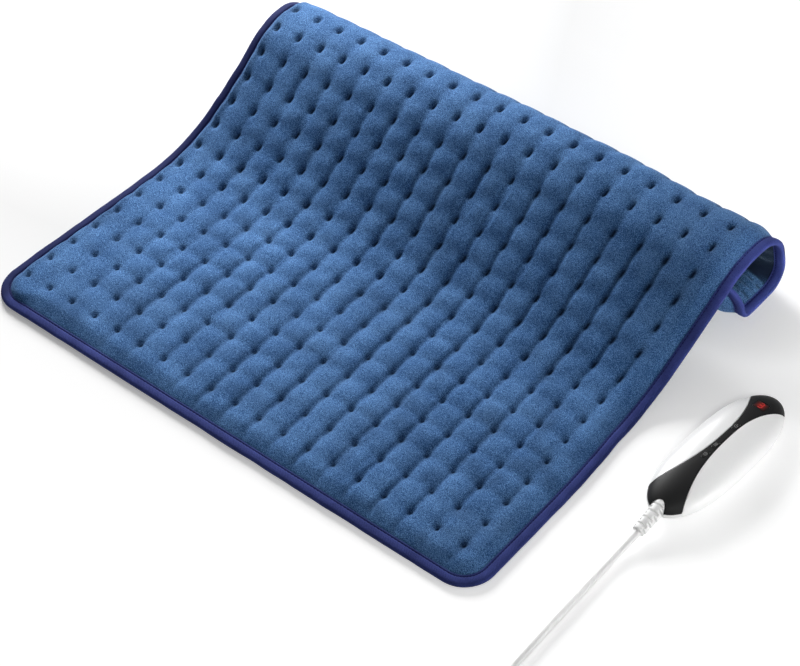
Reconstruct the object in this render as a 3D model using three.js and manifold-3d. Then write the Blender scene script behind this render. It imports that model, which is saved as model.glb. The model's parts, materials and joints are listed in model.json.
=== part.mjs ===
// Heating pad with a hand controller: a quilted plush pad whose far end is rolled under,
// and a moulded controller on its mains cord. Millimetres, +Z up, X along the pad's width,
// Y from the pad's front edge to the rolled end. The origin lies on the table,
// under the middle of the pad's width, in its flat part.

import * as THREE from 'three';
import { mergeVertices } from 'three/addons/utils/BufferGeometryUtils.js';
import Module from 'manifold-3d';

const wasm = await Module();
wasm.setup();

// Clearance between pieces that touch
const gap = 0.3;

// Pad as cut, before it is rolled
const padWidth = 508;
const padLength = 558;
const padCorner = 36;
const originFromFront = 100;

// Quilting: a square grid of weld dimples
const quiltPitch = 25.4;
const quiltFront = 33.3;
const quiltShift = -7;
const quiltMargin = 16.2;
const puffHeight = 4.3;
const valleyHeight = 1;
const backPuffHeight = 2.5;

// Pad layers
const coverThickness = 1;
const hemThickness = 0.8;
const feltThickness = 0.8;
const wireDiameter = 2;
const rampEnd = 16;
const weltInset = 12;
const weltHeight = 4;
const feltInset = 18;

// Edge binding tape
const bindingTape = 0.9;
const bindingWidth = 9.4;
const bindingFold = 1;
const bindingLift = 0.4;

// Side profile of the rolled pad: flat, rise, crest, shoulder, heel, tail on the table, lip
const neutralHeight = 3;
const riseRadius = 133;
const riseAngle = 31;
const riseRun = 75;
const crestRadius = 75;
const crestAngle = 36.5;
const shoulderRadius = 35;
const shoulderAngle = 71;
const heelRadius = 17;
const tailRun = 29;
const lipRadius = 11;
const lipAngle = 75;
const lipRun = 33.4;
const floorCut = 0.5;

// Heating wire and its cut-out
const wireInset = 34;
const wireTurn = 8;
const wireRunRows = 1.5;
const cutoutLength = 16;
const cutoutWidth = 7;
const cutoutSide = 60;

// Inlet for the pad lead, on the back near the end edge
const inletWidth = 46;
const inletLength = 22;
const inletDepth = 10;
const inletFromEnd = 25;
const socketWidth = 13;
const socketHeight = 5;
const socketDepth = 15;
const pinDiameter = 2;
const pinLength = 11;
const pinSpacing = 6;

// Controller housing
const controllerX = 320.8;
const controllerY = 116;
const controllerYaw = 0.065;
const halfLength = 75;
const halfWidth = 27.3;
const bluntness = 2.78;
const partingHeight = 11.5;
const domeHeight = 15.4;
const bowlDepth = 13;
const shellWall = 2.4;

// Fascia: an hourglass inlay over the top of the housing
const fasciaThickness = 1;
const waistHalf = 2.6;
const waistFromTip = 62;
const nearFlareLeft = 17;
const nearFlareRight = 12.4;
const nearReach = 73;
const farFlare = 12.2;
const farReach = 49;
const flarePower = 2.4;
const panelRim = 1.8;

// Display
const windowFromTip = 21;
const windowWidth = 11;
const windowLength = 9;
const windowThickness = 1.7;
const moduleWidth = 11;
const moduleLength = 12;
const moduleHeight = 7;

// Push buttons
const buttonPlaces = { power: 22, heat: -3, timer: -15.5 };
const buttonWidth = 3.4;
const buttonLength = 8;
const buttonProud = 0.4;
const buttonFlange = 1.4;
const buttonFlangeThickness = 1.2;
const buttonTravel = 0.6;
const pressClearance = 0.15;

// Circuit board and its components
const boardUnderside = 9;
const boardThickness = 1.6;
const boardInset = 6;
const boardFromNearTip = 31;
const pillarDiameter = 4;
const pillarPlaces = [[8, 30], [-8, 30], [8, -28], [-8, -28]];
const triacSize = [10, 15, 4.5];
const triacPlace = [-14, 4];
const capacitorSize = [8, 18, 8];
const capacitorPlace = [13, -14];
const fuseDiameter = 5;
const fuseLength = 18;
const fusePlace = [-13, -18];
const switchSide = 6;
const switchHeight = 4;
const plungerDiameter = 3.2;
const plungerHeight = 2.3;

// Screws and their bosses
const farScrewSide = 12;
const farScrewFromTip = 33;
const nearScrewSide = 13.5;
const nearScrewFromTip = 37;
const bossDiameter = 7;
const bossTop = 6.5;
const screwShank = 2.2;
const screwHead = 5;
const screwHeadHeight = 1.7;
const screwSeat = 3.9;
const screwReach = 13;

// Strain relief
const reliefHeight = 13.2;
const reliefRoot = 6.1;
const reliefTip = 5.3;
const reliefFlange = 6.8;
const reliefFlangeThickness = 2;
const reliefInside = -55.3;
const reliefShoulder = -73;
const reliefEnd = -95;
const reliefBend = -68;
const reliefDroop = 12;
const reliefLap = 1.4;
const reliefCore = 3.3;
const slotCount = 8;
const slotWidth = 1.5;
const slotPitch = 3.3;
const slotStart = -70.3;
const slotBridge = 1.6;

// Mains cord, its coil and its tie
const cordDiameter = 6.2;
const coilTurnsPerLayer = 3;
const coilPitch = 7;
const coilOuterRadius = 47.5;
const coilStart = new THREE.Vector2(315.5, -190);
const layerRise = 6.8;
const tieThickness = 0.6;
const tieWidth = 9;
const tieSlack = 0.9;
const tieTurn = 0.75;

// The free stretch of cord, from the strain relief to the coil, on the table
const cordRoute = [
  [313.5, 6.5, 4.75], [313, -3, 3.85], [312.7, -14, 3.35], [312.5, -26, 3.2], [312.4, -40, 3.2],
  [312.4, -54, 3.2], [312.4, -68, 3.2], [312.5, -82, 3.2], [312.7, -96, 3.2], [313, -110, 3.2],
  [313.4, -124, 3.2], [314, -138, 3.3], [314.7, -152, 3.5], [315.3, -165, 3.8],
];

// Plug
const plugBody = [
  [0, 4.6, 4.6], [6, 4.9, 4.9], [20, 6, 6], [24, 9.5, 8.6], [30, 13, 10.2], [52, 13, 10.4], [55, 12, 9.4],
];
const bladeLength = 17.5;
const bladeWidth = 6.3;
const bladeThickness = 1.5;
const bladeSpacing = 12.7;
const bladeHole = 1.5;

// Colours
const plush = { color: 0x3a6496, roughness: 0.95, metalness: 0 };
const tape = { color: 0x3c3c82, roughness: 0.8, metalness: 0 };
const felt = { color: 0xd8d4c8, roughness: 1, metalness: 0 };
const whitePlastic = { color: 0xf1f1f1, roughness: 0.25, metalness: 0 };
const blackPlastic = { color: 0x232425, roughness: 0.3, metalness: 0 };
const smoked = { color: 0x301012, roughness: 0.1, metalness: 0 };
const redPlastic = { color: 0xb02020, roughness: 0.4, metalness: 0 };
const boardGreen = { color: 0x2c6b3c, roughness: 0.6, metalness: 0 };
const steel = { color: 0xb9bcc0, roughness: 0.35, metalness: 1 };
const brass = { color: 0xc9a656, roughness: 0.35, metalness: 1 };
const wireSheath = { color: 0xe9e2d2, roughness: 0.7, metalness: 0 };
const softWhite = { color: 0xf3f3f1, roughness: 0.5, metalness: 0 };

const part = new THREE.Group();
const degrees = Math.PI / 180;

function add(parent, name, geometry, finish) {
  const mesh = new THREE.Mesh(geometry, new THREE.MeshStandardMaterial(finish));
  mesh.name = name;
  parent.add(mesh);
  return mesh;
}

// Booleans

function solid(geometry) {
  const bare = geometry.clone();
  bare.deleteAttribute('normal');
  bare.deleteAttribute('uv');
  const merged = mergeVertices(bare, 1e-4);
  return new wasm.Manifold(new wasm.Mesh({
    numProp: 3,
    vertProperties: new Float32Array(merged.attributes.position.array),
    triVerts: new Uint32Array(merged.index.array),
  }));
}

function shape3d(body) {
  const mesh = body.getMesh();
  const geometry = new THREE.BufferGeometry();
  geometry.setAttribute('position', new THREE.BufferAttribute(mesh.vertProperties, 3));
  geometry.setIndex(new THREE.BufferAttribute(mesh.triVerts, 1));
  return geometry;
}

function box(width, length, height, x, y, z) {
  return new THREE.BoxGeometry(width, length, height).translate(x, y, z + height / 2);
}

function post(diameter, bottom, top, x, y, sides = 10) {
  const cylinder = new THREE.CylinderGeometry(diameter / 2, diameter / 2, top - bottom, sides);
  return cylinder.rotateX(Math.PI / 2).translate(x, y, (top + bottom) / 2);
}

function prism(outlineShape, bottom, top) {
  const options = { depth: top - bottom, bevelEnabled: false, curveSegments: 4 };
  return new THREE.ExtrudeGeometry(outlineShape, options).translate(0, 0, bottom);
}

// Lofts a closed body through rings of equally many points; start and end may be single points

function loft(rings) {
  const positions = [];
  const index = [];
  const count = Math.max(rings[0].length, rings[1].length);
  const starts = rings.map((ring) => {
    const start = positions.length / 3;
    ring.forEach((point) => positions.push(...point));
    return start;
  });
  for (let r = 0; r + 1 < rings.length; r++) {
    for (let k = 0; k < count; k++) {
      const next = (k + 1) % count;
      if (rings[r].length === 1) {
        index.push(starts[r], starts[r + 1] + next, starts[r + 1] + k);
      } else if (rings[r + 1].length === 1) {
        index.push(starts[r] + k, starts[r] + next, starts[r + 1]);
      } else {
        index.push(starts[r] + k, starts[r] + next, starts[r + 1] + next);
        index.push(starts[r] + k, starts[r + 1] + next, starts[r + 1] + k);
      }
    }
  }
  const last = rings.length - 1;
  for (let k = 1; k + 1 < count; k++) {
    if (rings[0].length > 1) index.push(starts[0], starts[0] + k + 1, starts[0] + k);
    if (rings[last].length > 1) index.push(starts[last], starts[last] + k, starts[last] + k + 1);
  }
  const geometry = new THREE.BufferGeometry();
  geometry.setAttribute('position', new THREE.Float32BufferAttribute(positions, 3));
  geometry.setIndex(index);
  return geometry;
}

// Heights of the pad's layers above its underside

const hemBack = bindingLift + bindingTape + gap;
const hemFace = hemBack + hemThickness + gap;
const bindingTop = hemFace + hemThickness + gap + bindingTape;
const feltBottom = coverThickness + gap;
const wireBottom = feltBottom + feltThickness + gap;
const faceUnderside = wireBottom + wireDiameter + gap;
const dimpleHeight = faceUnderside + coverThickness;
const puffTop = dimpleHeight + puffHeight;
const coverInset = bindingTape + gap;
const hemInset = bindingWidth + gap;

// Side profile: stretches with a length and a turn, met in order from the front edge

const arc = (radius, angle) => ({ length: radius * Math.abs(angle) * degrees, turn: angle * degrees });
const straight = (length) => ({ length, turn: 0 });
const dropHeading = riseAngle - crestAngle - shoulderAngle;
const overTop = [
  arc(riseRadius, riseAngle), straight(riseRun),
  arc(crestRadius, -crestAngle), arc(shoulderRadius, -shoulderAngle),
];
const underTail = [
  arc(heelRadius, -180 - dropHeading), straight(tailRun), arc(lipRadius, -lipAngle), straight(lipRun),
];

function travel(place, length, turn) {
  const { y, z, heading } = place;
  const end = heading + turn;
  if (Math.abs(turn) < 1e-9) {
    return { y: y + length * Math.cos(heading), z: z + length * Math.sin(heading), heading: end };
  }
  const radius = length / turn;
  return {
    y: y + radius * (Math.sin(end) - Math.sin(heading)),
    z: z + radius * (Math.cos(heading) - Math.cos(end)),
    heading: end,
  };
}

const along = (place, stretches) => stretches.reduce((at, s) => travel(at, s.length, s.turn), place);
const lengthOf = (stretches) => stretches.reduce((sum, s) => sum + s.length, 0);
const frontEdge = { y: -originFromFront, z: neutralHeight, heading: 0 };
const tailHeight = puffTop - neutralHeight - floorCut;
const heelDrop = heelRadius * (Math.cos(dropHeading * degrees) + 1);
const shoulderEnd = along(frontEdge, overTop).z;
const dropLength = (shoulderEnd - heelDrop - tailHeight) / -Math.sin(dropHeading * degrees);
const rolled = [...overTop, straight(dropLength), ...underTail];
const flatLength = padLength - lengthOf(rolled);
const profile = [straight(flatLength), ...rolled];
const riseEnd = lengthOf(profile.slice(0, 2));
const shoulderStart = lengthOf(profile.slice(0, 4));
const tailStart = lengthOf(profile.slice(0, 7));
const tailEnd = tailStart + tailRun;

function place(v) {
  let at = frontEdge;
  let left = v;
  for (const stretch of profile) {
    const part = Math.min(left, stretch.length);
    at = travel(at, part, stretch.turn * part / stretch.length);
    left -= part;
    if (left <= 0) break;
  }
  return at;
}

// Puts a point of the flat pad (across, along, height) on the rolled pad

function bend(u, v, w) {
  const { y, z, heading } = place(v);
  const lift = w - neutralHeight;
  return [u, y - lift * Math.sin(heading), z + lift * Math.cos(heading)];
}

// Pad outline at an inset from the edge; every outline has as many points as the others

const quiltReach = padLength - quiltFront - quiltMargin;
const quiltRows = Math.floor(quiltReach / quiltPitch) + 1;
const quiltSpan = padWidth - 2 * (quiltMargin + Math.abs(quiltShift));
const quiltColumns = Math.floor(quiltSpan / quiltPitch) + 1;
const backQuiltRow = Math.ceil((riseEnd - quiltFront) / quiltPitch);
const row = (j) => quiltFront + j * quiltPitch;
const column = (i) => quiltShift + (i - (quiltColumns - 1) / 2) * quiltPitch;
const isTight = (j) => row(j + 1) > shoulderStart;
const marks = [];
for (let j = 0; j < quiltRows; j++) {
  if (row(j + 1) > flatLength) marks.push(row(j));
  if (isTight(j)) marks.push(row(j + 0.5));
}
const sideStations = marks.filter((v) => v < padLength - padCorner - 1);
const cornerSteps = 3;

// Every layer is straight from one mark to the next, so that the layers stay parallel

function lay(u, v, w) {
  const next = marks.findIndex((mark) => mark >= v);
  if (next < 1) return bend(u, v, w);
  const share = (v - marks[next - 1]) / (marks[next] - marks[next - 1]);
  const before = bend(u, marks[next - 1], w);
  const after = bend(u, marks[next], w);
  return before.map((value, axis) => THREE.MathUtils.lerp(value, after[axis], share));
}

function outline(inset) {
  const side = padWidth / 2 - inset;
  const radius = padCorner - inset;
  const loop = [];
  const corner = (u, v, start) => {
    for (let k = 0; k <= cornerSteps; k++) {
      const angle = start + k / cornerSteps * Math.PI / 2;
      loop.push([u + radius * Math.cos(angle), v + radius * Math.sin(angle)]);
    }
  };
  corner(radius - side, padCorner, Math.PI);
  corner(side - radius, padCorner, 1.5 * Math.PI);
  sideStations.forEach((v) => loop.push([side, v]));
  corner(side - radius, padLength - padCorner, 0);
  corner(radius - side, padLength - padCorner, 0.5 * Math.PI);
  [...sideStations].reverse().forEach((v) => loop.push([-side, v]));
  return loop;
}

// Pairs of points of an outline that face each other across the pad, front to back

function rungs(loop) {
  const size = cornerSteps + 1;
  const stations = sideStations.length;
  const pairs = [];
  for (let k = 0; k < size; k++) pairs.push([size - 1 - k, size + k]);
  for (let k = 0; k < stations; k++) pairs.push([loop.length - 1 - k, 2 * size + k]);
  for (let k = 0; k < size; k++) pairs.push([4 * size + stations - 1 - k, 2 * size + stations + k]);
  return pairs;
}

// Collects the triangles of one fabric layer, drawn flat and laid on the rolled pad

class Layer {
  constructor() {
    this.flat = [];
    this.index = [];
  }

  point(u, v, w) {
    this.flat.push([u, v, w]);
    return this.flat.length - 1;
  }

  loop(inset, w) {
    return outline(inset).map(([u, v]) => this.point(u, v, w));
  }

  triangle(a, b, c, faceDown) {
    this.index.push(a, ...(faceDown ? [c, b] : [b, c]));
  }

  // Ring between two outlines of equally many points
  ring(outer, inner, faceDown) {
    outer.forEach((a, k) => {
      const next = (k + 1) % outer.length;
      this.triangle(a, outer[next], inner[next], faceDown);
      this.triangle(a, inner[next], inner[k], faceDown);
    });
  }

  // Strip between two chains that run the same way, the first on the right-hand side
  strip(right, left, faceDown) {
    const apart = (a, b) => Math.hypot(
      this.flat[a][0] - this.flat[b][0],
      this.flat[a][1] - this.flat[b][1],
    );
    let r = 0;
    let l = 0;
    while (r + 1 < right.length || l + 1 < left.length) {
      const canRight = r + 1 < right.length;
      const canLeft = l + 1 < left.length;
      const stepRight = canRight && (!canLeft
        || apart(right[r + 1], left[l]) <= apart(right[r], left[l + 1]));
      if (stepRight) {
        this.triangle(right[r], right[r + 1], left[l], faceDown);
        r += 1;
      } else {
        this.triangle(right[r], left[l + 1], left[l], faceDown);
        l += 1;
      }
    }
  }

  // Plain filling of an outline, or of its rungs up to a row
  fill(loop, faceDown, last = Infinity) {
    const pairs = rungs(loop).map(([a, b]) => [loop[a], loop[b]]);
    const kept = pairs.filter(([a]) => this.flat[a][1] <= last);
    for (let k = 0; k + 1 < kept.length; k++) {
      const [a, b] = kept[k];
      const [d, c] = kept[k + 1];
      this.triangle(a, b, c, faceDown);
      this.triangle(a, c, d, faceDown);
    }
    return kept[kept.length - 1];
  }

  // Quilted cells: dimples at the corners and a puff in each middle; flat where the tail lies on the table.
  // Returns the dimple and valley points of the block's rows and columns.
  quilt(firstRow, low, high, faceDown) {
    const valley = low + Math.sign(high - low) * valleyHeight;
    const pressed = (v, w) => (!faceDown && v >= tailStart && v <= tailEnd ? puffTop - floorCut : w);
    const stitch = (i, j, w) => this.point(column(i), row(j), pressed(row(j), w));
    const dimples = [];
    const valleys = [];
    for (let j = firstRow; j < quiltRows; j++) {
      const across = Array.from({ length: quiltColumns }, (_, i) => i);
      dimples[j] = across.map((i) => stitch(i, j, low));
      const needsValley = isTight(j) && j + 1 < quiltRows;
      valleys[j] = needsValley ? across.map((i) => stitch(i, j + 0.5, valley)) : null;
    }
    for (let j = firstRow; j + 1 < quiltRows; j++) {
      for (let i = 0; i + 1 < quiltColumns; i++) {
        const puff = stitch(i + 0.5, j + 0.5, high);
        const right = valleys[j] ? [valleys[j][i + 1]] : [];
        const left = valleys[j] ? [valleys[j][i]] : [];
        const rim = [dimples[j][i], dimples[j][i + 1], ...right, dimples[j + 1][i + 1], dimples[j + 1][i], ...left];
        rim.forEach((a, k) => this.triangle(a, rim[(k + 1) % rim.length], puff, faceDown));
      }
    }
    const side = (i) => {
      const chain = [];
      for (let j = firstRow; j < quiltRows; j++) {
        chain.push(dimples[j][i]);
        if (valleys[j]) chain.push(valleys[j][i]);
      }
      return chain;
    };
    return { front: dimples[firstRow], back: dimples[quiltRows - 1], left: side(0), right: side(quiltColumns - 1) };
  }

  geometry() {
    const positions = this.flat.flatMap(([u, v, w]) => {
      const [x, y, z] = lay(u, v, w);
      return [x, y, Math.max(0, z)];
    });
    const geometry = new THREE.BufferGeometry();
    geometry.setAttribute('position', new THREE.Float32BufferAttribute(positions, 3));
    geometry.setIndex(this.index);
    return geometry;
  }
}

function topCover() {
  const layer = new Layer();
  const edgeTop = layer.loop(coverInset, hemFace + hemThickness);
  const hemTop = layer.loop(hemInset, hemFace + hemThickness);
  const welt = layer.loop(weltInset, hemFace + hemThickness + weltHeight);
  layer.ring(edgeTop, hemTop, false);
  layer.ring(hemTop, welt, false);
  const quilt = layer.quilt(0, dimpleHeight, puffTop, false);
  const inner = [...quilt.front, ...quilt.right.slice(1), ...[...quilt.back].reverse().slice(1),
    ...[...quilt.left].reverse().slice(1)];
  const start = cornerSteps;
  const outer = [...welt.slice(start), ...welt.slice(0, start + 1)];
  layer.strip(outer, inner, false);

  const edgeUnder = layer.loop(coverInset, hemFace);
  const hemUnder = layer.loop(hemInset, hemFace);
  const crown = layer.loop(rampEnd, faceUnderside);
  layer.ring(edgeUnder, edgeTop, false);
  layer.ring(edgeUnder, hemUnder, true);
  layer.ring(hemUnder, crown, true);
  layer.fill(crown, true);
  return layer.geometry();
}

function bottomCover() {
  const layer = new Layer();
  const edgeUnder = layer.loop(coverInset, hemBack);
  const hemUnder = layer.loop(hemInset, hemBack);
  const rest = layer.loop(rampEnd, 0);
  layer.ring(edgeUnder, hemUnder, true);
  layer.ring(hemUnder, rest, true);
  const lastPlain = layer.fill(rest, true, row(backQuiltRow) - quiltPitch / 4);
  const quilt = layer.quilt(backQuiltRow, 0, -backPuffHeight, true);
  const leftStart = rest.indexOf(lastPlain[0]) - 1;
  const rightStart = rest.indexOf(lastPlain[1]) + 1;
  const rightCount = sideStations.filter((v) => v >= row(backQuiltRow)).length;
  const rightSide = rest.slice(rightStart, rightStart + rightCount);
  const leftSide = rest.slice(leftStart - rightCount + 1, leftStart + 1).reverse();
  const backEdge = rest.slice(rightStart + rightCount - 1, leftStart - rightCount + 2);
  const rightChain = quilt.right.slice(0, rightCount);
  const leftChain = quilt.left.slice(0, rightCount);
  layer.strip(rightSide, rightChain, true);
  layer.strip(leftChain, leftSide, true);
  const rightTail = quilt.right.slice(rightCount - 1);
  const leftTail = quilt.left.slice(rightCount - 1).reverse();
  const quiltEnd = [...rightTail, ...[...quilt.back].reverse().slice(1), ...leftTail.slice(1)];
  layer.strip(backEdge, quiltEnd, true);
  layer.strip(lastPlain, [leftSide[0], ...quilt.front, rightSide[0]], true);

  const edgeTop = layer.loop(coverInset, hemBack + hemThickness);
  const hemTop = layer.loop(hemInset, hemBack + hemThickness);
  const floor = layer.loop(rampEnd, coverThickness);
  layer.ring(edgeUnder, edgeTop, false);
  layer.ring(edgeTop, hemTop, false);
  layer.ring(hemTop, floor, false);
  layer.fill(floor, false);
  return layer.geometry();
}

function wireCarrier() {
  const layer = new Layer();
  const under = layer.loop(feltInset, feltBottom);
  const top = layer.loop(feltInset, feltBottom + feltThickness);
  layer.ring(under, top, false);
  layer.fill(under, true);
  layer.fill(top, false);
  return layer.geometry();
}

// Folded tape of U section round the whole edge

function edgeBinding() {
  const layer = new Layer();
  const section = [
    [bindingWidth, bindingLift], [bindingFold, bindingLift], [0, bindingLift + bindingFold],
    [0, bindingTop - bindingFold], [bindingFold, bindingTop], [bindingWidth, bindingTop],
    [bindingWidth, bindingTop - bindingTape], [bindingTape, bindingTop - bindingTape],
    [bindingTape, bindingLift + bindingTape], [bindingWidth, bindingLift + bindingTape],
  ];
  const loops = section.map(([inset, w]) => layer.loop(inset, w));
  loops.forEach((loop, k) => layer.ring(loop, loops[(k + 1) % loops.length], false));
  return layer.geometry();
}

// A round wire along straight stretches, mitred where they meet

function mitredWire(points, diameter, sides) {
  const along3d = points.map((point) => new THREE.Vector3(...point));
  const direction = (k) => along3d[k + 1].clone().sub(along3d[k]).normalize();
  const first = direction(0);
  const helper = Math.abs(first.z) < 0.9 ? new THREE.Vector3(0, 0, 1) : new THREE.Vector3(0, 1, 0);
  const sideways = new THREE.Vector3().crossVectors(helper, first).normalize();
  const upward = new THREE.Vector3().crossVectors(first, sideways);
  let ring = Array.from({ length: sides }, (_, k) => {
    const angle = 2 * Math.PI * k / sides;
    return along3d[0].clone()
      .addScaledVector(sideways, diameter / 2 * Math.cos(angle))
      .addScaledVector(upward, diameter / 2 * Math.sin(angle));
  });
  const rings = [ring];
  for (let k = 1; k < along3d.length; k++) {
    const before = direction(k - 1);
    const after = k + 1 < along3d.length ? direction(k) : before;
    const normal = before.clone().add(after).normalize();
    ring = ring.map((point) => {
      const reach = along3d[k].clone().sub(point).dot(normal) / before.dot(normal);
      return point.clone().addScaledVector(before, reach);
    });
    rings.push(ring);
  }
  return loft(rings.map((points3d) => points3d.map((point) => point.toArray())));
}

function heatingWire() {
  const height = wireBottom + wireDiameter / 2;
  const reach = padWidth / 2 - wireInset;
  const wireRuns = Math.floor((quiltRows - 2) / wireRunRows) + 1;
  const points = [];
  for (let k = 0; k < wireRuns; k++) {
    const v = row(0.5 + wireRunRows * k);
    const side = k % 2 ? -1 : 1;
    points.push([-side * reach, v], [side * reach, v]);
    if (k + 1 < wireRuns) {
      points.push([side * (reach + wireTurn), v + quiltPitch / 2], [side * (reach + wireTurn), v + quiltPitch]);
    }
  }
  return mitredWire(points.map(([u, v]) => lay(u, v, height)), wireDiameter, 6);
}

function pad() {
  add(part, 'top_cover', topCover(), plush);
  add(part, 'bottom_cover', bottomCover(), plush);
  add(part, 'wire_carrier', wireCarrier(), felt);
  add(part, 'heating_wire', heatingWire(), wireSheath);
  add(part, 'edge_binding', edgeBinding(), tape);
  const betweenRuns = place(row(0.5 + wireRunRows * 1.5)).y;
  const cutout = box(cutoutLength, cutoutWidth, wireDiameter, cutoutSide, betweenRuns, wireBottom);
  add(part, 'thermal_cutout', cutout, steel);
}

// Socket for the pad lead on the back of the lip; local Z points out of the back

function inlet() {
  const seat = new THREE.Group();
  const at = place(padLength - inletFromEnd);
  const out = -backPuffHeight - gap - neutralHeight;
  seat.position.set(0, at.y - out * Math.sin(at.heading), at.z + out * Math.cos(at.heading));
  seat.rotation.x = at.heading + Math.PI;
  part.add(seat);
  const middle = (inletDepth - socketHeight) / 2;
  const mouth = inletWidth / 2 - socketDepth / 2;
  const housing = solid(box(inletWidth, inletLength, inletDepth, 0, 0, 0))
    .subtract(solid(box(socketDepth + gap, socketWidth, socketHeight, mouth + gap / 2, 0, middle)));
  add(seat, 'inlet_housing', shape3d(housing), blackPlastic);
  const socketFloor = inletWidth / 2 - socketDepth;
  for (const [name, side] of [['inlet_pin_left', 1], ['inlet_pin_right', -1]]) {
    const pin = new THREE.CylinderGeometry(pinDiameter / 2, pinDiameter / 2, pinLength, 10);
    pin.rotateZ(Math.PI / 2).translate(socketFloor + gap + pinLength / 2, side * pinSpacing / 2, inletDepth / 2);
    add(seat, name, pin, brass);
  }
}

// Controller housing: half length along local Y, cord end at -Y

const controller = new THREE.Group();
controller.position.set(controllerX, controllerY, 0);
controller.rotation.z = -controllerYaw;
part.add(controller);

const lengthSteps = 14;
const archSteps = 10;

function half(inset, rise) {
  const reach = halfLength - inset;
  const depth = rise > 0 ? rise - inset : rise + inset;
  const rings = [];
  for (let k = 0; k <= lengthSteps; k++) {
    const y = -reach * Math.cos(Math.PI * k / lengthSteps);
    const fullness = Math.sqrt(Math.max(0, 1 - Math.abs(y / reach) ** bluntness));
    const ring = [];
    for (let a = 0; a <= archSteps; a++) {
      const angle = Math.PI * a / archSteps;
      const x = (halfWidth - inset) * fullness * Math.cos(angle);
      ring.push([depth > 0 ? x : -x, y, partingHeight + depth * fullness * Math.sin(angle)]);
    }
    const isTip = k === 0 || k === lengthSteps;
    rings.push(isTip ? [[0, y, partingHeight]] : ring.reverse());
  }
  return solid(loft(rings));
}

const dome = (inset) => half(inset, domeHeight);
const bowl = (inset) => half(inset, -bowlDepth);
const houseTop = partingHeight + domeHeight;
const windowY = halfLength - windowFromTip;
const farScrewY = halfLength - farScrewFromTip;
const nearScrewY = nearScrewFromTip - halfLength;
const screwPlaces = [
  [farScrewSide, farScrewY], [-farScrewSide, farScrewY],
  [nearScrewSide, nearScrewY], [-nearScrewSide, nearScrewY],
];

function slab(bottom, top) {
  return solid(box(4 * halfWidth, 4 * halfLength, top - bottom, 0, 0, bottom));
}

function hourglass(grow) {
  const waistY = halfLength - waistFromTip;
  const step = halfLength / 10;
  const edge = (side, nearFlare) => {
    const points = [];
    for (let k = -11; k <= 11; k++) {
      const y = k * step;
      const away = Math.abs(y - waistY);
      const flare = y < waistY ? nearFlare * (away / nearReach) ** flarePower : farFlare * (away / farReach) ** flarePower;
      points.push(new THREE.Vector2(side * (waistHalf + flare + grow), y));
    }
    return points;
  };
  const outlineShape = new THREE.Shape([...edge(1, nearFlareRight), ...edge(-1, nearFlareLeft).reverse()]);
  return solid(prism(outlineShape, partingHeight + panelRim - grow, houseTop + 1));
}

function stadium(y, grow) {
  const radius = buttonWidth / 2 + grow;
  const run = (buttonLength - buttonWidth) / 2;
  const outlineShape = new THREE.Shape();
  outlineShape.absarc(0, y + run, radius, 0, Math.PI);
  outlineShape.absarc(0, y - run, radius, Math.PI, 2 * Math.PI);
  return outlineShape;
}

function windowPrism(grow) {
  const width = windowWidth + 2 * grow;
  const length = windowLength + 2 * grow;
  return solid(box(width, length, domeHeight, 0, windowY, partingHeight + 2));
}

// The strain relief droops outside the housing: its outer part turns about a point of its axis

const droopTurn = reliefDroop * degrees;

function droop(body) {
  return body.translate([0, -reliefBend, -reliefHeight]).rotate([reliefDroop, 0, 0])
    .translate([0, reliefBend, reliefHeight]);
}

function droopPoint(y) {
  const reach = y - reliefBend;
  return new THREE.Vector3(0, reliefBend + reach * Math.cos(droopTurn), reliefHeight + reach * Math.sin(droopTurn));
}

function cordHole(grow) {
  const radius = reliefRoot + grow;
  const rod = (begin, end) => {
    const hole = new THREE.CylinderGeometry(radius, radius, end - begin, 14);
    return solid(hole.translate(0, (begin + end) / 2, reliefHeight));
  };
  const straightHole = rod(-halfLength - 1, reliefInside + 2 * reliefFlangeThickness - 1);
  return straightHole.add(droop(rod(-halfLength - 3, reliefBend)));
}

function upperShell() {
  let shell = dome(0).subtract(dome(shellWall));
  for (const [x, y] of screwPlaces) {
    const boss = solid(post(bossDiameter, bossTop + gap, houseTop, x, y)).intersect(dome(shellWall / 2)
      .add(slab(bossTop + gap, partingHeight + gap)));
    shell = shell.add(boss).subtract(solid(post(screwShank + 2 * gap, bossTop, screwReach + gap, x, y, 8)));
  }
  shell = shell.subtract(hourglass(gap).subtract(dome(fasciaThickness + gap)));
  for (const y of Object.values(buttonPlaces)) {
    shell = shell.subtract(solid(prism(stadium(y, gap), partingHeight, houseTop + 1)));
  }
  return shell.subtract(windowPrism(gap)).subtract(cordHole(gap));
}

function lowerShell() {
  const parting = partingHeight - gap;
  let shell = bowl(0).intersect(slab(0, parting));
  shell = shell.subtract(bowl(shellWall).intersect(slab(shellWall, partingHeight)));
  for (const [x, y] of pillarPlaces) {
    shell = shell.add(solid(post(pillarDiameter, shellWall / 2, boardUnderside - gap, x, y, 8)));
  }
  for (const [x, y] of screwPlaces) {
    shell = shell.add(solid(post(bossDiameter + 1, shellWall, bossTop, x, y)));
    shell = shell.subtract(solid(post(screwHead + 2 * gap, -1, screwSeat, x, y)));
    shell = shell.subtract(solid(post(screwShank + 2 * gap, 0, bossTop + 1, x, y, 8)));
  }
  return shell.subtract(cordHole(gap));
}

function fascia() {
  let panel = dome(0).subtract(dome(fasciaThickness)).intersect(hourglass(0));
  for (const y of Object.values(buttonPlaces)) {
    panel = panel.subtract(solid(prism(stadium(y, gap), partingHeight, houseTop + 1)));
  }
  return panel.subtract(windowPrism(gap)).subtract(cordHole(gap));
}

const boardTop = boardUnderside + boardThickness;
const plungerTop = boardTop + gap + switchHeight + plungerHeight;
const stemBottom = plungerTop + buttonTravel + pressClearance;

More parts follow.
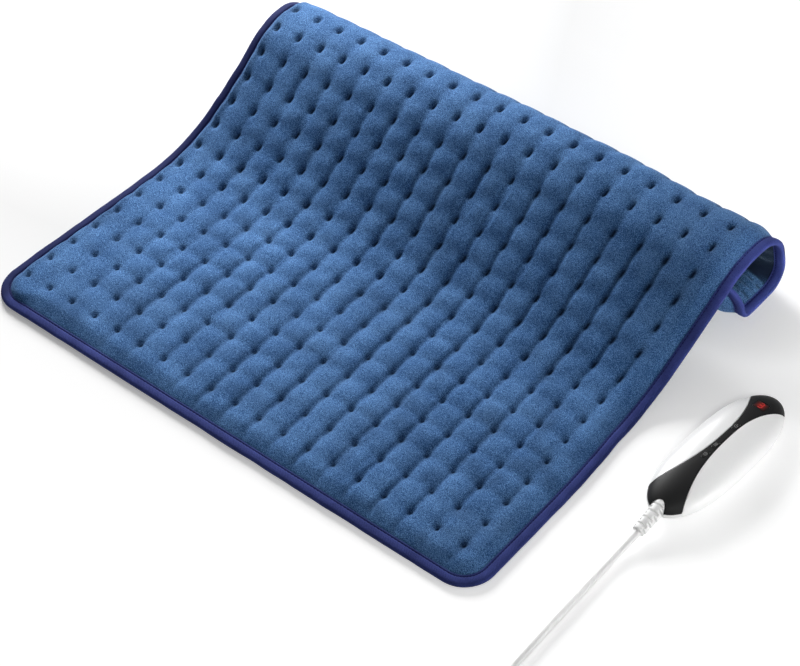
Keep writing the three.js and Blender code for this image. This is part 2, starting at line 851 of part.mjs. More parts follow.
function button(y) {
  const column3d = solid(prism(stadium(y, 0), stemBottom, houseTop + 1)).intersect(dome(-buttonProud));
  const inner = shellWall + gap;
  const flange = solid(prism(stadium(y, buttonFlange), partingHeight, houseTop + 1))
    .intersect(dome(inner)).subtract(dome(inner + buttonFlangeThickness));
  return column3d.add(flange);
}

function tactSwitch(y) {
  const base = boardTop + gap;
  const body = solid(box(switchSide, switchSide, switchHeight, 0, y, base));
  return body.add(solid(post(plungerDiameter, base + 1, plungerTop, 0, y, 12)));
}

function circuitBoard() {
  const edge = [];
  const reach = halfLength - boardInset;
  for (let k = 0; k <= 16; k++) {
    const y = THREE.MathUtils.lerp(boardFromNearTip - halfLength, reach - boardInset, k / 16);
    edge.push(new THREE.Vector2((halfWidth - boardInset) * Math.sqrt(1 - Math.abs(y / reach) ** bluntness), y));
  }
  const mirrored = edge.map(({ x, y }) => new THREE.Vector2(-x, y)).reverse();
  let board = solid(prism(new THREE.Shape([...edge, ...mirrored]), boardUnderside, boardTop));
  for (const [x, y] of screwPlaces) {
    board = board.subtract(solid(post(bossDiameter + 4 * gap, boardUnderside - 1, boardTop + 1, x, y)));
  }
  return board;
}

function screw(x, y) {
  const top = screwSeat - gap;
  const profilePoints = [[0, top - screwHeadHeight], [screwHead / 2, top - screwHeadHeight], [screwHead / 2, top],
    [screwShank / 2, top], [screwShank / 2, screwReach - 2], [0, screwReach]];
  const turned = new THREE.LatheGeometry(profilePoints.map(([r, z]) => new THREE.Vector2(r, z)), 8);
  return turned.rotateX(Math.PI / 2).translate(x, y, 0);
}

// Ribbed sleeve: slots cut from two sides in turn, down to a core round the cord

function strainRelief() {
  const turned = (points) => {
    const lathe = new THREE.LatheGeometry(points.map(([r, y]) => new THREE.Vector2(r, -y)), 14);
    return solid(lathe.rotateX(Math.PI).translate(0, 0, reliefHeight));
  };
  const neck = reliefInside - reliefFlangeThickness;
  const anchor = turned([[0, reliefInside], [reliefFlange, reliefInside], [reliefFlange, neck],
    [reliefRoot, neck], [reliefRoot, reliefBend], [0, reliefBend]]);
  let relief = turned([[0, reliefBend + reliefLap], [reliefRoot, reliefBend + reliefLap],
    [reliefRoot, reliefShoulder], [reliefTip, reliefEnd], [0, reliefEnd]]);
  const core = new THREE.CylinderGeometry(reliefCore, reliefCore, 2 * halfLength, 10);
  const coreBody = solid(core.translate(0, -halfLength, reliefHeight));
  for (let k = 0; k < slotCount; k++) {
    const y = slotStart - k * slotPitch;
    for (const side of [1, -1]) {
      const far = side * (slotBridge + reliefFlange);
      const x = k % 2 ? far : 0;
      const z = k % 2 ? 0 : far;
      const cut = box(2 * reliefFlange, slotWidth, 2 * reliefFlange, x, y, reliefHeight + z - reliefFlange);
      relief = relief.subtract(solid(cut).subtract(coreBody));
    }
  }
  return droop(relief).add(anchor);
}

function controllerPieces() {
  add(controller, 'upper_shell', shape3d(upperShell()), whitePlastic);
  add(controller, 'lower_shell', shape3d(lowerShell()), whitePlastic);
  add(controller, 'fascia', shape3d(fascia()), blackPlastic);
  const lens = dome(0).subtract(dome(windowThickness)).intersect(windowPrism(0));
  add(controller, 'display_window', shape3d(lens), smoked);
  add(controller, 'strain_relief', shape3d(strainRelief()), softWhite);
  for (const [name, y] of Object.entries(buttonPlaces)) {
    add(controller, `${name}_button`, shape3d(button(y)), blackPlastic);
    add(controller, `${name}_switch`, shape3d(tactSwitch(y)), steel);
  }
  add(controller, 'circuit_board', shape3d(circuitBoard()), boardGreen);
  const seat = boardTop + gap;
  add(controller, 'led_digit_module', box(moduleWidth, moduleLength, moduleHeight, 0, windowY - 2, seat), redPlastic);
  add(controller, 'triac', box(...triacSize, ...triacPlace, seat), blackPlastic);
  add(controller, 'film_capacitor', box(...capacitorSize, ...capacitorPlace, seat), smoked);
  const fuseRadius = fuseDiameter / 2;
  const fuse = new THREE.CylinderGeometry(fuseRadius, fuseRadius, fuseLength, 12);
  add(controller, 'fuse', fuse.translate(...fusePlace, seat + fuseRadius), brass);
  screwPlaces.forEach(([x, y], k) => add(controller, `shell_screw_${k + 1}`, screw(x, y), steel));
}

// Cord: the free stretch, then a flat coil in two layers, spiralling in and out again

class RoundCurve extends THREE.CatmullRomCurve3 {
  constructor(points) {
    super(points, false, 'centripetal');
    this.arcLengthDivisions = 10 * points.length;
  }
}

function cordTube(points, steps, sides) {
  const section = new THREE.Shape();
  for (let k = 0; k < sides; k++) {
    const angle = 2 * Math.PI * k / sides;
    const x = cordDiameter / 2 * Math.cos(angle);
    const y = cordDiameter / 2 * Math.sin(angle);
    if (k === 0) section.moveTo(x, y);
    else section.lineTo(x, y);
  }
  const extrudePath = new RoundCurve(points.map((point) => new THREE.Vector3(...point)));
  return new THREE.ExtrudeGeometry(section, { steps, extrudePath, bevelEnabled: false });
}

const coilCentre = new THREE.Vector2(coilStart.x + coilOuterRadius, coilStart.y);
const lowerLayer = tieThickness + gap + cordDiameter / 2;
const coilTurns = 2 * coilTurnsPerLayer + 0.5;
const coilStepsPerTurn = 24;

function coilPoints() {
  const points = [[coilStart.x, coilStart.y + cordDiameter, lowerLayer]];
  const count = coilTurns * coilStepsPerTurn;
  for (let k = 0; k <= count; k++) {
    const turn = k / coilStepsPerTurn;
    const radius = coilOuterRadius - coilPitch * (coilTurns / 2 - Math.abs(turn - coilTurns / 2));
    const climb = THREE.MathUtils.smoothstep(turn, coilTurnsPerLayer, coilTurnsPerLayer + 0.5);
    const angle = Math.PI + 2 * Math.PI * turn;
    points.push([
      coilCentre.x + radius * Math.cos(angle),
      coilCentre.y + radius * Math.sin(angle),
      lowerLayer + layerRise * climb,
    ]);
  }
  const [x, y, z] = points[points.length - 1];
  points.push([x, y + cordDiameter, z]);
  return points;
}

function leastGap(points) {
  let least = Infinity;
  const skip = coilStepsPerTurn / 3;
  points.forEach((a, i) => {
    for (let k = i + skip; k < points.length; k++) {
      const b = points[k];
      least = Math.min(least, Math.hypot(a[0] - b[0], a[1] - b[1], a[2] - b[2]) - cordDiameter);
    }
  });
  return least;
}

function cord() {
  const tip = controller.localToWorld(droopPoint(reliefEnd - gap));
  const out = controller.localToWorld(droopPoint(reliefEnd - gap - cordDiameter));
  const joint = [coilStart.x, coilStart.y + cordDiameter + gap, lowerLayer];
  const before = [coilStart.x, coilStart.y + 2 * cordDiameter + gap, lowerLayer];
  const run = [tip.toArray(), out.toArray(), ...cordRoute, before, joint];
  add(part, 'cord_run', cordTube(run, 20, 10), softWhite);
  const turns = coilPoints();
  console.log(`least gap in the coil: ${leastGap(turns).toFixed(2)} mm`);
  add(part, 'cord_coil', cordTube(turns, coilTurns * coilStepsPerTurn + 4, 6), softWhite);

  // The tie goes round the turns at the side of the coil that faces the pad
  const outside = coilOuterRadius - tieTurn * coilPitch + cordDiameter / 2 + tieSlack;
  const inside = outside - (coilTurnsPerLayer - 1) * coilPitch - cordDiameter - 2 * tieSlack;
  const top = tieThickness + 2 * gap + layerRise + cordDiameter;
  const strap = new THREE.Shape([[inside - tieThickness, 0], [outside + tieThickness, 0],
    [outside + tieThickness, top + tieThickness], [inside - tieThickness, top + tieThickness]]
    .map(([x, y]) => new THREE.Vector2(x, y)));
  strap.holes.push(new THREE.Path([[inside, tieThickness], [inside, top], [outside, top], [outside, tieThickness]]
    .map(([x, y]) => new THREE.Vector2(x, y))));
  const band = new THREE.ExtrudeGeometry(strap, { depth: tieWidth, bevelEnabled: false });
  band.rotateX(Math.PI / 2).rotateZ(Math.PI / 2).translate(coilCentre.x - tieWidth / 2, coilCentre.y, 0);
  add(part, 'cord_tie', band, tape);
  plug(turns[turns.length - 1]);
}

// Plug with two flat blades, lying beside the coil

function plug([x, y, z]) {
  const lie = new THREE.Group();
  lie.position.set(x, y + gap, z);
  part.add(lie);
  const sides = 20;
  const rings = plugBody.map(([reach, wide, high]) => Array.from({ length: sides }, (_, k) => {
    const angle = -2 * Math.PI * k / sides;
    const squareness = wide > plugBody[2][1] ? 0.6 : 1;
    const soften = (value) => Math.sign(value) * Math.abs(value) ** squareness;
    return [wide * soften(Math.cos(angle)), reach, high * soften(Math.sin(angle))];
  }));
  add(lie, 'plug_body', loft(rings), softWhite);
  const face = plugBody[plugBody.length - 1][0] + gap;
  for (const [name, side] of [['plug_blade_left', -1], ['plug_blade_right', 1]]) {
    const blade = solid(box(bladeThickness, bladeLength, bladeWidth, side * bladeSpacing / 2, face + bladeLength / 2, -bladeWidth / 2));
    const hole = new THREE.CylinderGeometry(bladeHole, bladeHole, bladeSpacing * 3, 12).rotateZ(Math.PI / 2);
    add(lie, name, shape3d(blade.subtract(solid(hole.translate(0, face + bladeLength * 0.7, 0)))), brass);
  }
}

pad();
inlet();
controllerPieces();
controller.updateMatrixWorld(true);
cord();

export default part;
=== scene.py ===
import json
import math

import bpy
import numpy as np
from mathutils import Matrix, Vector
from mathutils.geometry import delaunay_2d_cdt


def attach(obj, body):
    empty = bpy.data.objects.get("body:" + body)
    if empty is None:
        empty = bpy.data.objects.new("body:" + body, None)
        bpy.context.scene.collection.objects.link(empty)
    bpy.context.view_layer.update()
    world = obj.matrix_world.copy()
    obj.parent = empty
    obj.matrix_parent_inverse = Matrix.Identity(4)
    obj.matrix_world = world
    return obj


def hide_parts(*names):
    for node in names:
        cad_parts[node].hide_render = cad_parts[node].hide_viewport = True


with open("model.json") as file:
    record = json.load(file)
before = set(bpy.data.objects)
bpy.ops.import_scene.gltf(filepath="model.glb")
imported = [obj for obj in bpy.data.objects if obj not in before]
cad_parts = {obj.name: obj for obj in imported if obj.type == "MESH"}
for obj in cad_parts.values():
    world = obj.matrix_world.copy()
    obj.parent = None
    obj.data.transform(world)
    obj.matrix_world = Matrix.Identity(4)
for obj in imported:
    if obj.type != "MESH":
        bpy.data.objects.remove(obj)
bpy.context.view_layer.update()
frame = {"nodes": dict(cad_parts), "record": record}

scene = bpy.context.scene
scene.view_settings.view_transform = "Standard"

# Camera at the photograph's viewing angle

camera_data = bpy.data.cameras.new("camera")
camera_data.sensor_width = 36
camera_data.lens = 98.08
camera = bpy.data.objects.new("camera", camera_data)
scene.collection.objects.link(camera)
camera.matrix_world = Matrix((
    (0.77118, -0.44154, 0.45861, 0.8518),
    (0.63584, 0.56977, -0.52065, -0.8430),
    (-0.03142, 0.69312, 0.72014, 1.2721),
    (0, 0, 0, 1),
))
scene.camera = camera


# Meshes, in millimetres

MM = 0.001


def mesh_object(name, points, faces, material):
    mesh = bpy.data.meshes.new(name)
    mesh.from_pydata((np.asarray(points, float) * MM).tolist(), [], [list(f) for f in faces])
    mesh.materials.append(material)
    obj = bpy.data.objects.new(name, mesh)
    scene.collection.objects.link(obj)
    return obj


def settle(obj, slot, nodes=(), body="base", angle=40):
    obj.data.shade_smooth()
    obj.data.set_sharp_from_angle(angle=math.radians(angle))
    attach(obj, body)
    if nodes:
        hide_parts(*nodes)


def grid_faces(rows, columns, closed=False, looped=False, flip=False):
    """Faces of a grid: closed joins its last column to the first, looped its last row to the first."""
    index = np.arange(rows * columns).reshape(rows, columns)
    if closed:
        index = np.hstack([index, index[:, :1]])
    if looped:
        index = np.vstack([index, index[:1]])
    a, b, c, d = index[:-1, :-1], index[:-1, 1:], index[1:, 1:], index[1:, :-1]
    quads = np.stack([a, d, c, b] if flip else [a, b, c, d], -1).reshape(-1, 4)
    return quads.tolist()


def tube(rings):
    """A closed body from loops of equal counts, with an end face on each end loop."""
    rings = np.asarray(rings, float)
    rows, columns = rings.shape[:2]
    faces = grid_faces(rows, columns, closed=True)
    faces.append(list(range(columns))[::-1])
    faces.append(list(range((rows - 1) * columns, rows * columns)))
    return rings.reshape(-1, 3), faces


def join(bodies):
    """One mesh from several bodies."""
    points, faces, start = [], [], 0
    for more, sides in bodies:
        faces += [[i + start for i in face] for face in sides]
        points.append(more)
        start += len(more)
    return np.vstack(points), faces


def arcs(corners, radius, sweep, steps):
    """A flat outline of arcs: each corner gives the centre of an arc and the angle at which it starts."""
    turns = sweep * np.arange(steps + 1) / steps
    return np.array([(x + radius * math.cos(a), y + radius * math.sin(a))
                     for x, y, start in corners for a in np.radians(start + turns)])


def carve(obj, bodies, operation="DIFFERENCE"):
    for points, faces in bodies:
        tool = mesh_object("tool", points, faces, obj.data.materials[0])
        step = obj.modifiers.new("carve", "BOOLEAN")
        step.operation = operation
        step.solver = "EXACT"
        step.object = tool
        bpy.context.view_layer.update()
        mesh = bpy.data.meshes.new_from_object(obj.evaluated_get(bpy.context.evaluated_depsgraph_get()))
        obj.modifiers.clear()
        obj.data = mesh
        bpy.data.objects.remove(tool)


def smoothstep(x, low, high):
    t = np.clip((np.asarray(x, float) - low) / (high - low), 0, 1)
    return t * t * (3 - 2 * t)


def smooth_noise(shape, cell, rng):
    coarse = rng.standard_normal((int(shape[0] / cell) + 4, int(shape[1] / cell) + 4))
    y, x = np.arange(shape[0]) / cell + 1, np.arange(shape[1]) / cell + 1
    y0, x0 = y.astype(int), x.astype(int)
    fy, fx = smoothstep(y - y0, 0, 1)[:, None], smoothstep(x - x0, 0, 1)[None]
    top = coarse[np.ix_(y0, x0)] * (1 - fx) + coarse[np.ix_(y0, x0 + 1)] * fx
    low = coarse[np.ix_(y0 + 1, x0)] * (1 - fx) + coarse[np.ix_(y0 + 1, x0 + 1)] * fx
    return top * (1 - fy) + low * fy


# Materials, kept by name for the solids that stay in view

finishes = {}


def shader(name, colour, roughness, **sockets):
    """A plain material; sockets are named in small letters with underscores."""
    made = finishes[name] = bpy.data.materials.new(name)
    made.use_nodes = True
    bsdf = made.node_tree.nodes["Principled BSDF"]
    named = {socket.name.lower().replace(" ", "_"): socket for socket in bsdf.inputs}
    for socket, value in {"base_color": (*colour, 1), "roughness": roughness, **sockets}.items():
        named[socket].default_value = value
    return made, bsdf


def dim(colour, share):
    return tuple(share * x for x in colour)


class Nodes:
    """Adds nodes to one material; texture coordinates are the object's own, in metres."""

    def __init__(self, made, bsdf):
        self.tree = made.node_tree
        self.bsdf = bsdf
        self.coordinates = self.tree.nodes.new("ShaderNodeTexCoord").outputs["Object"]

    def link(self, source, target):
        self.tree.links.new(source, target)

    def noise(self, scale, detail=2.0, stretch=None):
        node = self.tree.nodes.new("ShaderNodeTexNoise")
        node.inputs["Scale"].default_value = scale
        node.inputs["Detail"].default_value = detail
        place = self.coordinates
        if stretch:
            mapping = self.tree.nodes.new("ShaderNodeMapping")
            mapping.inputs["Scale"].default_value = stretch
            self.link(place, mapping.inputs["Vector"])
            place = mapping.outputs["Vector"]
        self.link(place, node.inputs["Vector"])
        return node.outputs["Fac"]

    def spread(self, value, to_low=0.0, to_high=1.0, low=0.3, high=0.7):
        """Maps a range of a value, by default the middle of a noise, to another range."""
        node = self.tree.nodes.new("ShaderNodeMapRange")
        for socket, number in zip(("From Min", "From Max", "To Min", "To Max"), (low, high, to_low, to_high)):
            node.inputs[socket].default_value = number
        self.link(value, node.inputs["Value"])
        return node.outputs["Result"]

    def math(self, operation, a, b):
        node = self.tree.nodes.new("ShaderNodeMath")
        node.operation = operation
        for socket, value in zip(node.inputs, (a, b)):
            if isinstance(value, (int, float)):
                socket.default_value = value
            else:
                self.link(value, socket)
        return node.outputs["Value"]

    def mix(self, factor, first, second):
        node = self.tree.nodes.new("ShaderNodeMix")
        node.data_type = "RGBA"
        self.link(factor, node.inputs["Factor"])
        for socket, value in ((node.inputs[6], first), (node.inputs[7], second)):
            if isinstance(value, tuple):
                socket.default_value = (*value, 1)
            else:
                self.link(value, socket)
        return node.outputs[2]

    def attribute(self, name):
        node = self.tree.nodes.new("ShaderNodeAttribute")
        node.attribute_name = name
        return node.outputs["Fac"]

    def bump(self, height, distance, strength=1.0, below=None):
        node = self.tree.nodes.new("ShaderNodeBump")
        node.inputs["Strength"].default_value = strength
        node.inputs["Distance"].default_value = distance
        self.link(height, node.inputs["Height"])
        if below:
            self.link(below, node.inputs["Normal"])
        return node.outputs["Normal"]

    def colour(self, value):
        self.link(value, self.bsdf.inputs["Base Color"])

    def roughness(self, value):
        self.link(value, self.bsdf.inputs["Roughness"])

    def normal(self, value):
        self.link(value, self.bsdf.inputs["Normal"])


def plush_material(name, dark, middle, light, sheen):
    made, bsdf = shader(name, middle, 0.9, specular_ior_level=0.15, sheen_weight=sheen, sheen_roughness=0.45,
                        sheen_tint=(0.45, 0.7, 1.0, 1))
    n = Nodes(made, bsdf)
    pile = n.noise(1750, 1)
    tuft = n.noise(420)
    brushed = n.noise(38, 3)
    grain = n.math("ADD", n.spread(pile, -0.85, 0.85), n.spread(tuft, -0.1, 0.1))
    tone = n.math("ADD", grain, n.spread(brushed, 0.3, 0.7))
    tinted = n.mix(n.spread(tone, low=0.0, high=0.5), dark, middle)
    tinted = n.mix(n.spread(tone, low=0.5, high=1.1), tinted, light)
    # Painted shade: the point attribute, with the nap's random tone, mixes the colour towards a dimmed dark
    n.colour(n.mix(n.attribute("nap_and_painted_shade"), tinted, dim(dark, 0.22)))
    n.normal(n.bump(pile, 0.0006, 0.7, n.bump(tuft, 0.0008, 0.4)))
    return made


def woven_material(name, dark, light, scale=1500):
    made, bsdf = shader(name, light, 0.7, specular_ior_level=0.05)
    n = Nodes(made, bsdf)
    weave = n.tree.nodes.new("ShaderNodeTexWave")
    weave.bands_direction = "DIAGONAL"
    weave.inputs["Scale"].default_value = scale / 4
    weave.inputs["Distortion"].default_value = 2.5
    weave.inputs["Detail Scale"].default_value = 3
    n.link(n.coordinates, weave.inputs["Vector"])
    threads = weave.outputs["Fac"]
    fibre = n.noise(scale)
    wear = n.noise(60, 3)
    tone = n.math("ADD", n.spread(fibre, 0.1, 0.6), n.spread(wear, -0.1, 0.4))
    # Painted shade: the point attribute mixes the colour towards a dimmed dark
    n.colour(n.mix(n.attribute("shade"), n.mix(tone, dark, light), dim(dark, 0.4)))
    n.normal(n.bump(threads, 0.00025, 0.6, n.bump(fibre, 0.0003, 0.5)))
    return made


def moulded_material(name, colour, roughness, grain=900.0, depth=0.00002, tint=0.06, shine=0.5):
    made, bsdf = shader(name, colour, roughness, specular_ior_level=shine)
    n = Nodes(made, bsdf)
    cloud = n.noise(45, 3)
    fine = n.noise(grain)
    n.colour(n.mix(n.spread(cloud), dim(colour, 1 - tint), colour))
    n.roughness(n.spread(fine, roughness * 0.85, min(1, roughness * 1.15)))
    n.normal(n.bump(fine, depth, 0.5))
    return made


def metal_material(name, colour, roughness):
    made, bsdf = shader(name, colour, roughness, metallic=1.0)
    n = Nodes(made, bsdf)
    brushed = n.noise(900, 2, (1, 0.05, 1))
    n.roughness(n.spread(brushed, roughness * 0.7, roughness * 1.4))
    n.colour(n.mix(n.noise(120, 3), dim(colour, 0.8), colour))
    n.normal(n.bump(brushed, 0.00002, 0.4))
    return made


def felt_material(name, colour):
    made, bsdf = shader(name, colour, 0.95)
    n = Nodes(made, bsdf)
    fibre = n.noise(500, 4, (1, 0.35, 1))
    n.colour(n.mix(n.spread(fibre), dim(colour, 0.75), colour))
    n.normal(n.bump(fibre, 0.0004, 0.6))
    return made


plush = plush_material("plush", (0.017, 0.068, 0.200), (0.057, 0.161, 0.388), (0.165, 0.355, 0.70), 0.15)
# The back's colours are darker than the face's: partly its own tone, partly painted shade for the inside of the roll
plush_back = plush_material("plush_back", (0.010, 0.034, 0.090), (0.046, 0.126, 0.290), (0.12, 0.27, 0.50), 0.2)
binding = woven_material("binding", (0.026, 0.036, 0.147), (0.055, 0.075, 0.285))
thread = woven_material("thread", (0.006, 0.006, 0.030), (0.015, 0.015, 0.07))
white_shell = moulded_material("white_shell", (0.85, 0.85, 0.85), 0.32, tint=0.02, shine=0.4)
moulded_material("black_fascia", (0.012, 0.012, 0.0125), 0.5, tint=0.2, shine=0.2)
button_black = moulded_material("button_black", (0.010, 0.010, 0.0105), 0.5, depth=0.00003, tint=0.2, shine=0.2)
moulded_material("dark_plastic", (0.02, 0.02, 0.022), 0.45, depth=0.00005, tint=0.2)
moulded_material("red_display", (0.45, 0.02, 0.02), 0.4)
moulded_material("board", (0.03, 0.15, 0.05), 0.45)
white_cord = moulded_material("white_cord", (0.92, 0.92, 0.915), 0.42, grain=1400, depth=0.00005, tint=0.03)
icon_grey = moulded_material("icon_grey", (0.30, 0.30, 0.30), 0.5)
felt_material("felt", (0.7, 0.68, 0.6))
moulded_material("wire_sheath", (0.8, 0.75, 0.65), 0.6)
metal_material("steel", (0.6, 0.6, 0.62), 0.35)
metal_material("brass", (0.7, 0.5, 0.2), 0.3)


def window_material():
    made, bsdf = shader("smoked_window", (0.013, 0.009, 0.009), 0.4, specular_ior_level=0.2,
                        emission_color=(1.0, 0.04, 0.02, 1))
    n = Nodes(made, bsdf)
    n.colour(n.mix(n.noise(300), (0.012, 0.009, 0.009), (0.015, 0.010, 0.010)))
    n.roughness(n.spread(n.noise(500), 0.35, 0.45))
    n.link(n.math("MULTIPLY", n.attribute("glow"), 0.28), bsdf.inputs["Emission Strength"])
    return made


def digit_material():
    made, bsdf = shader("red_digit", (0.6, 0.02, 0.015), 0.4, emission_color=(1.0, 0.03, 0.03, 1),
                        emission_strength=0.2)
    n = Nodes(made, bsdf)
    n.colour(n.mix(n.noise(700), (0.28, 0.010, 0.010), (0.4, 0.016, 0.014)))
    return made


smoked_window = window_material()
red_digit = digit_material()
for subpart in frame["record"]["subparts"]:
    node = frame["nodes"][subpart["node"]]
    node.data.materials.clear()
    node.data.materials.append(finishes[subpart["material_slot"]])


# Controller place: local Y is its length, cord end at -Y

CONTROLLER_X, CONTROLLER_Y, YAW = 320.8, 116.0, 0.065


def seat(points):
    points = np.asarray(points, float)
    x, y = points[..., 0], points[..., 1]
    return np.stack([
        CONTROLLER_X + x * math.cos(YAW) + y * math.sin(YAW),
        CONTROLLER_Y - x * math.sin(YAW) + y * math.cos(YAW),
        points[..., 2],
    ], -1)


def seat_object(obj):
    turn = Matrix.Rotation(-YAW, 4, "Z")
    obj.data.transform(Matrix.Translation((CONTROLLER_X * MM, CONTROLLER_Y * MM, 0)) @ turn)


# Cord: free stretch, then a coil in two layers

def smooth_path(points, steps):
    """Centripetal Catmull-Rom curve through the points."""
    p = np.asarray(points, float)
    p = np.vstack([2 * p[0] - p[1], p, 2 * p[-1] - p[-2]])
    out = []
    for a, b, c, d in zip(p, p[1:], p[2:], p[3:]):
        t1 = np.linalg.norm(b - a) ** 0.5
        t2 = t1 + np.linalg.norm(c - b) ** 0.5
        t3 = t2 + np.linalg.norm(d - c) ** 0.5
        for t in t1 + (t2 - t1) * np.arange(steps) / steps:
            ab = a + (b - a) * t / t1
            bc = b + (c - b) * (t - t1) / (t2 - t1)
            cd = c + (d - c) * (t - t2) / (t3 - t2)
            abc = ab + (bc - ab) * t / t2
            bcd = bc + (cd - bc) * (t - t1) / (t3 - t1)
            out.append(abc + (bcd - abc) * (t - t1) / (t2 - t1))
    return np.vstack([out, p[-2:-1]])


CORD = 6.2
COIL = np.array([363.0, -190.0])
COIL_TURNS, COIL_RADIUS, COIL_STEP, COIL_LOW, COIL_LIFT = 6.5, 47.5, 7, 4.0, 6.8
PLUG_X, PLUG_Y, PLUG_Z = 410.5, -183.5, 10.8
RELIEF_Z, RELIEF_BEND, RELIEF_END, DROOP = 13.2, -68.0, -95.0, math.radians(12)


def droop(points):
    """Turns what lies outside the housing on the strain relief's axis downwards."""
    points = np.asarray(points, float)
    y, z = points[..., 1] - RELIEF_BEND, points[..., 2] - RELIEF_Z
    turned = np.stack([points[..., 0], RELIEF_BEND + y * math.cos(DROOP) - z * math.sin(DROOP),
                       RELIEF_Z + y * math.sin(DROOP) + z * math.cos(DROOP)], -1)
    return np.where((y < 0)[..., None], turned, points)


cord_start = seat(droop([[0, RELIEF_END - 0.3, RELIEF_Z], [0, RELIEF_END - 6.5, RELIEF_Z]]))
cord_run = [
    [313.5, 6.5, 4.75], [313, -3, 3.85], [312.7, -14, 3.35], [312.5, -26, 3.2], [312.4, -40, 3.2],
    [312.4, -54, 3.2], [312.4, -68, 3.2], [312.5, -82, 3.2], [312.7, -96, 3.2], [313, -110, 3.2],
    [313.4, -124, 3.2], [314, -138, 3.3], [314.7, -152, 3.5], [315.3, -165, 3.8], [315.5, -177.3, 4.0],
]
coil = []
half_way = COIL_TURNS / 2
for turn in np.arange(0, COIL_TURNS + 0.001, 1 / 24):
    radius = COIL_RADIUS - COIL_STEP * (half_way - abs(turn - half_way))
    angle = math.pi + 2 * math.pi * turn
    height = COIL_LOW + COIL_LIFT * float(smoothstep(turn, half_way - 0.25, half_way + 0.25))
    coil.append([COIL[0] + radius * math.cos(angle), COIL[1] + radius * math.sin(angle), height])
cord_points = smooth_path([*cord_start, *cord_run, *coil, [PLUG_X, PLUG_Y - 0.3, PLUG_Z]], 3) * MM

cord_data = bpy.data.curves.new("mains_cord", "CURVE")
cord_data.dimensions = "3D"
cord_data.bevel_depth = CORD / 2 * MM
cord_data.bevel_resolution = 5
cord_data.use_fill_caps = True
spline = cord_data.splines.new("POLY")
spline.points.add(len(cord_points) - 1)
for knot, point in zip(spline.points, cord_points):
    knot.co = (*point, 1)
spline.use_smooth = True
cord_data.materials.append(white_cord)
mains_cord = bpy.data.objects.new("mains_cord", cord_data)
scene.collection.objects.link(mains_cord)
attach(mains_cord, "base")
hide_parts("cord_run", "cord_coil")


# Plug: round neck with grip rings, then a squarish body

def plug_ring(reach, wide, high, sides=40):
    angle = 2 * math.pi * np.arange(sides) / sides
    square = 1 - 0.4 * smoothstep(wide, 6, 9.5)
    x = wide * np.sign(np.cos(angle)) * np.abs(np.cos(angle)) ** square
    z = high * np.sign(np.sin(angle)) * np.abs(np.sin(angle)) ** square
    return np.stack([PLUG_X + x, np.full(sides, PLUG_Y + reach), PLUG_Z + z], -1)


plug_stations = [(0, 3.6, 3.6), (0.3, 4.4, 4.4)]
for ring in range(6):
    neck = 4.6 + 0.22 * ring
    at = 0.8 + 3.1 * ring
    plug_stations += [(at, neck, neck), (at + 1.7, neck + 0.1, neck + 0.1),
                      (at + 2.0, neck - 0.75, neck - 0.75), (at + 2.8, neck - 0.7, neck - 0.7)]
plug_stations += [(19.8, 6, 6), (21.5, 7.0, 6.7), (24, 9.5, 8.5), (27, 11.9, 9.7), (30, 12.8, 10.2), (34, 13, 10.35)]
for ridge in range(5):
    at = 36 + 2.6 * ridge
    plug_stations += [(at, 13, 10.4), (at + 0.4, 12.5, 9.9), (at + 1.0, 12.5, 9.9), (at + 1.4, 13, 10.4)]
plug_stations += [(51.5, 13, 10.4), (53.6, 12.7, 10.1), (54.7, 12, 9.4), (55, 11.2, 8.7)]
plug = mesh_object("plug_moulding", *tube([plug_ring(*s) for s in plug_stations[::-1]]), white_cord)
settle(plug, "white_cord", ["plug_body"], angle=50)


# Tie: a woven strap round the turns, its end lapped on top

def strap_loop(low, high, bottom, top, corner, shift):
    low, high, bottom, top = low + corner, high - corner, bottom + corner, top - corner
    loop = arcs(((high, bottom, -90), (high, top, 0), (low, top, 90), (low, bottom, 180)), corner, 90, 6)
    return np.column_stack([np.full(len(loop), shift), loop + [COIL[1], 0]])


outer = (23.65, 46.85, 0.0, 15.2, 2.2)
inner = (24.25, 46.25, 0.6, 14.6, 1.6)
left, right = 358.7, 367.3
strap = [strap_loop(*outer, left), strap_loop(*outer, right), strap_loop(*inner, right), strap_loop(*inner, left)]
strap_faces = grid_faces(len(strap), len(strap[0]), closed=True, looped=True, flip=True)
lap = [[[x, y, z] for x, z in ((left + 0.2, 15.25), (left + 0.2, 15.8), (right - 0.2, 15.8), (right - 0.2, 15.25))]
       for y in (-166.0, -160.0, -154.0, -148.5)]
tie = mesh_object("cord_strap", *join([(np.vstack(strap), strap_faces), tube(lap)]), binding)
settle(tie, "binding", ["cord_tie"])


# Pad profile: flat, rising, over the crest and rolled under

WIDTH, LENGTH, CORNER = 508.0, 558.0, 28.0
PITCH, COLUMNS, ROWS = 25.4, 19, 21
COLUMN0, ROW0 = -7 - 9 * PITCH, 33.3
MIDDLE, UNDER_RADIUS, UNDER_HEIGHT = 3.0, 17, 6.5
START = (-100.0, MIDDLE, 0.0)


def arc(radius, angle):
    return radius * math.radians(abs(angle)), math.radians(angle)


def travel(y, z, heading, length, turn):
    if abs(turn) < 1e-9:
        return y + length * math.cos(heading), z + length * math.sin(heading), heading
    radius, end = length / turn, heading + turn
    return y + radius * (math.sin(end) - math.sin(heading)), z + radius * (math.cos(heading) - math.cos(end)), end


over = [arc(133, 31), (75, 0), arc(75, -36.5), arc(35, -71)]
at = START
for stretch in over:
    at = travel(*at, *stretch)
drop = (at[1] - UNDER_RADIUS * (math.cos(at[2]) + 1) - UNDER_HEIGHT) / -math.sin(at[2])
rolled = [*over, (drop, 0), arc(UNDER_RADIUS, -103.5), (29, 0), arc(11, -75), (33.4, 0)]
FLAT = LENGTH - sum(s[0] for s in rolled)
marks, places = [0.0], [START]
for length, turn in [(FLAT, 0), *rolled]:
    steps = max(2, int(length))
    for k in range(steps):
        places.append(travel(*places[-1], length / steps, turn / steps))
        marks.append(marks[-1] + length / steps)
marks, places = np.array(marks), np.array(places)


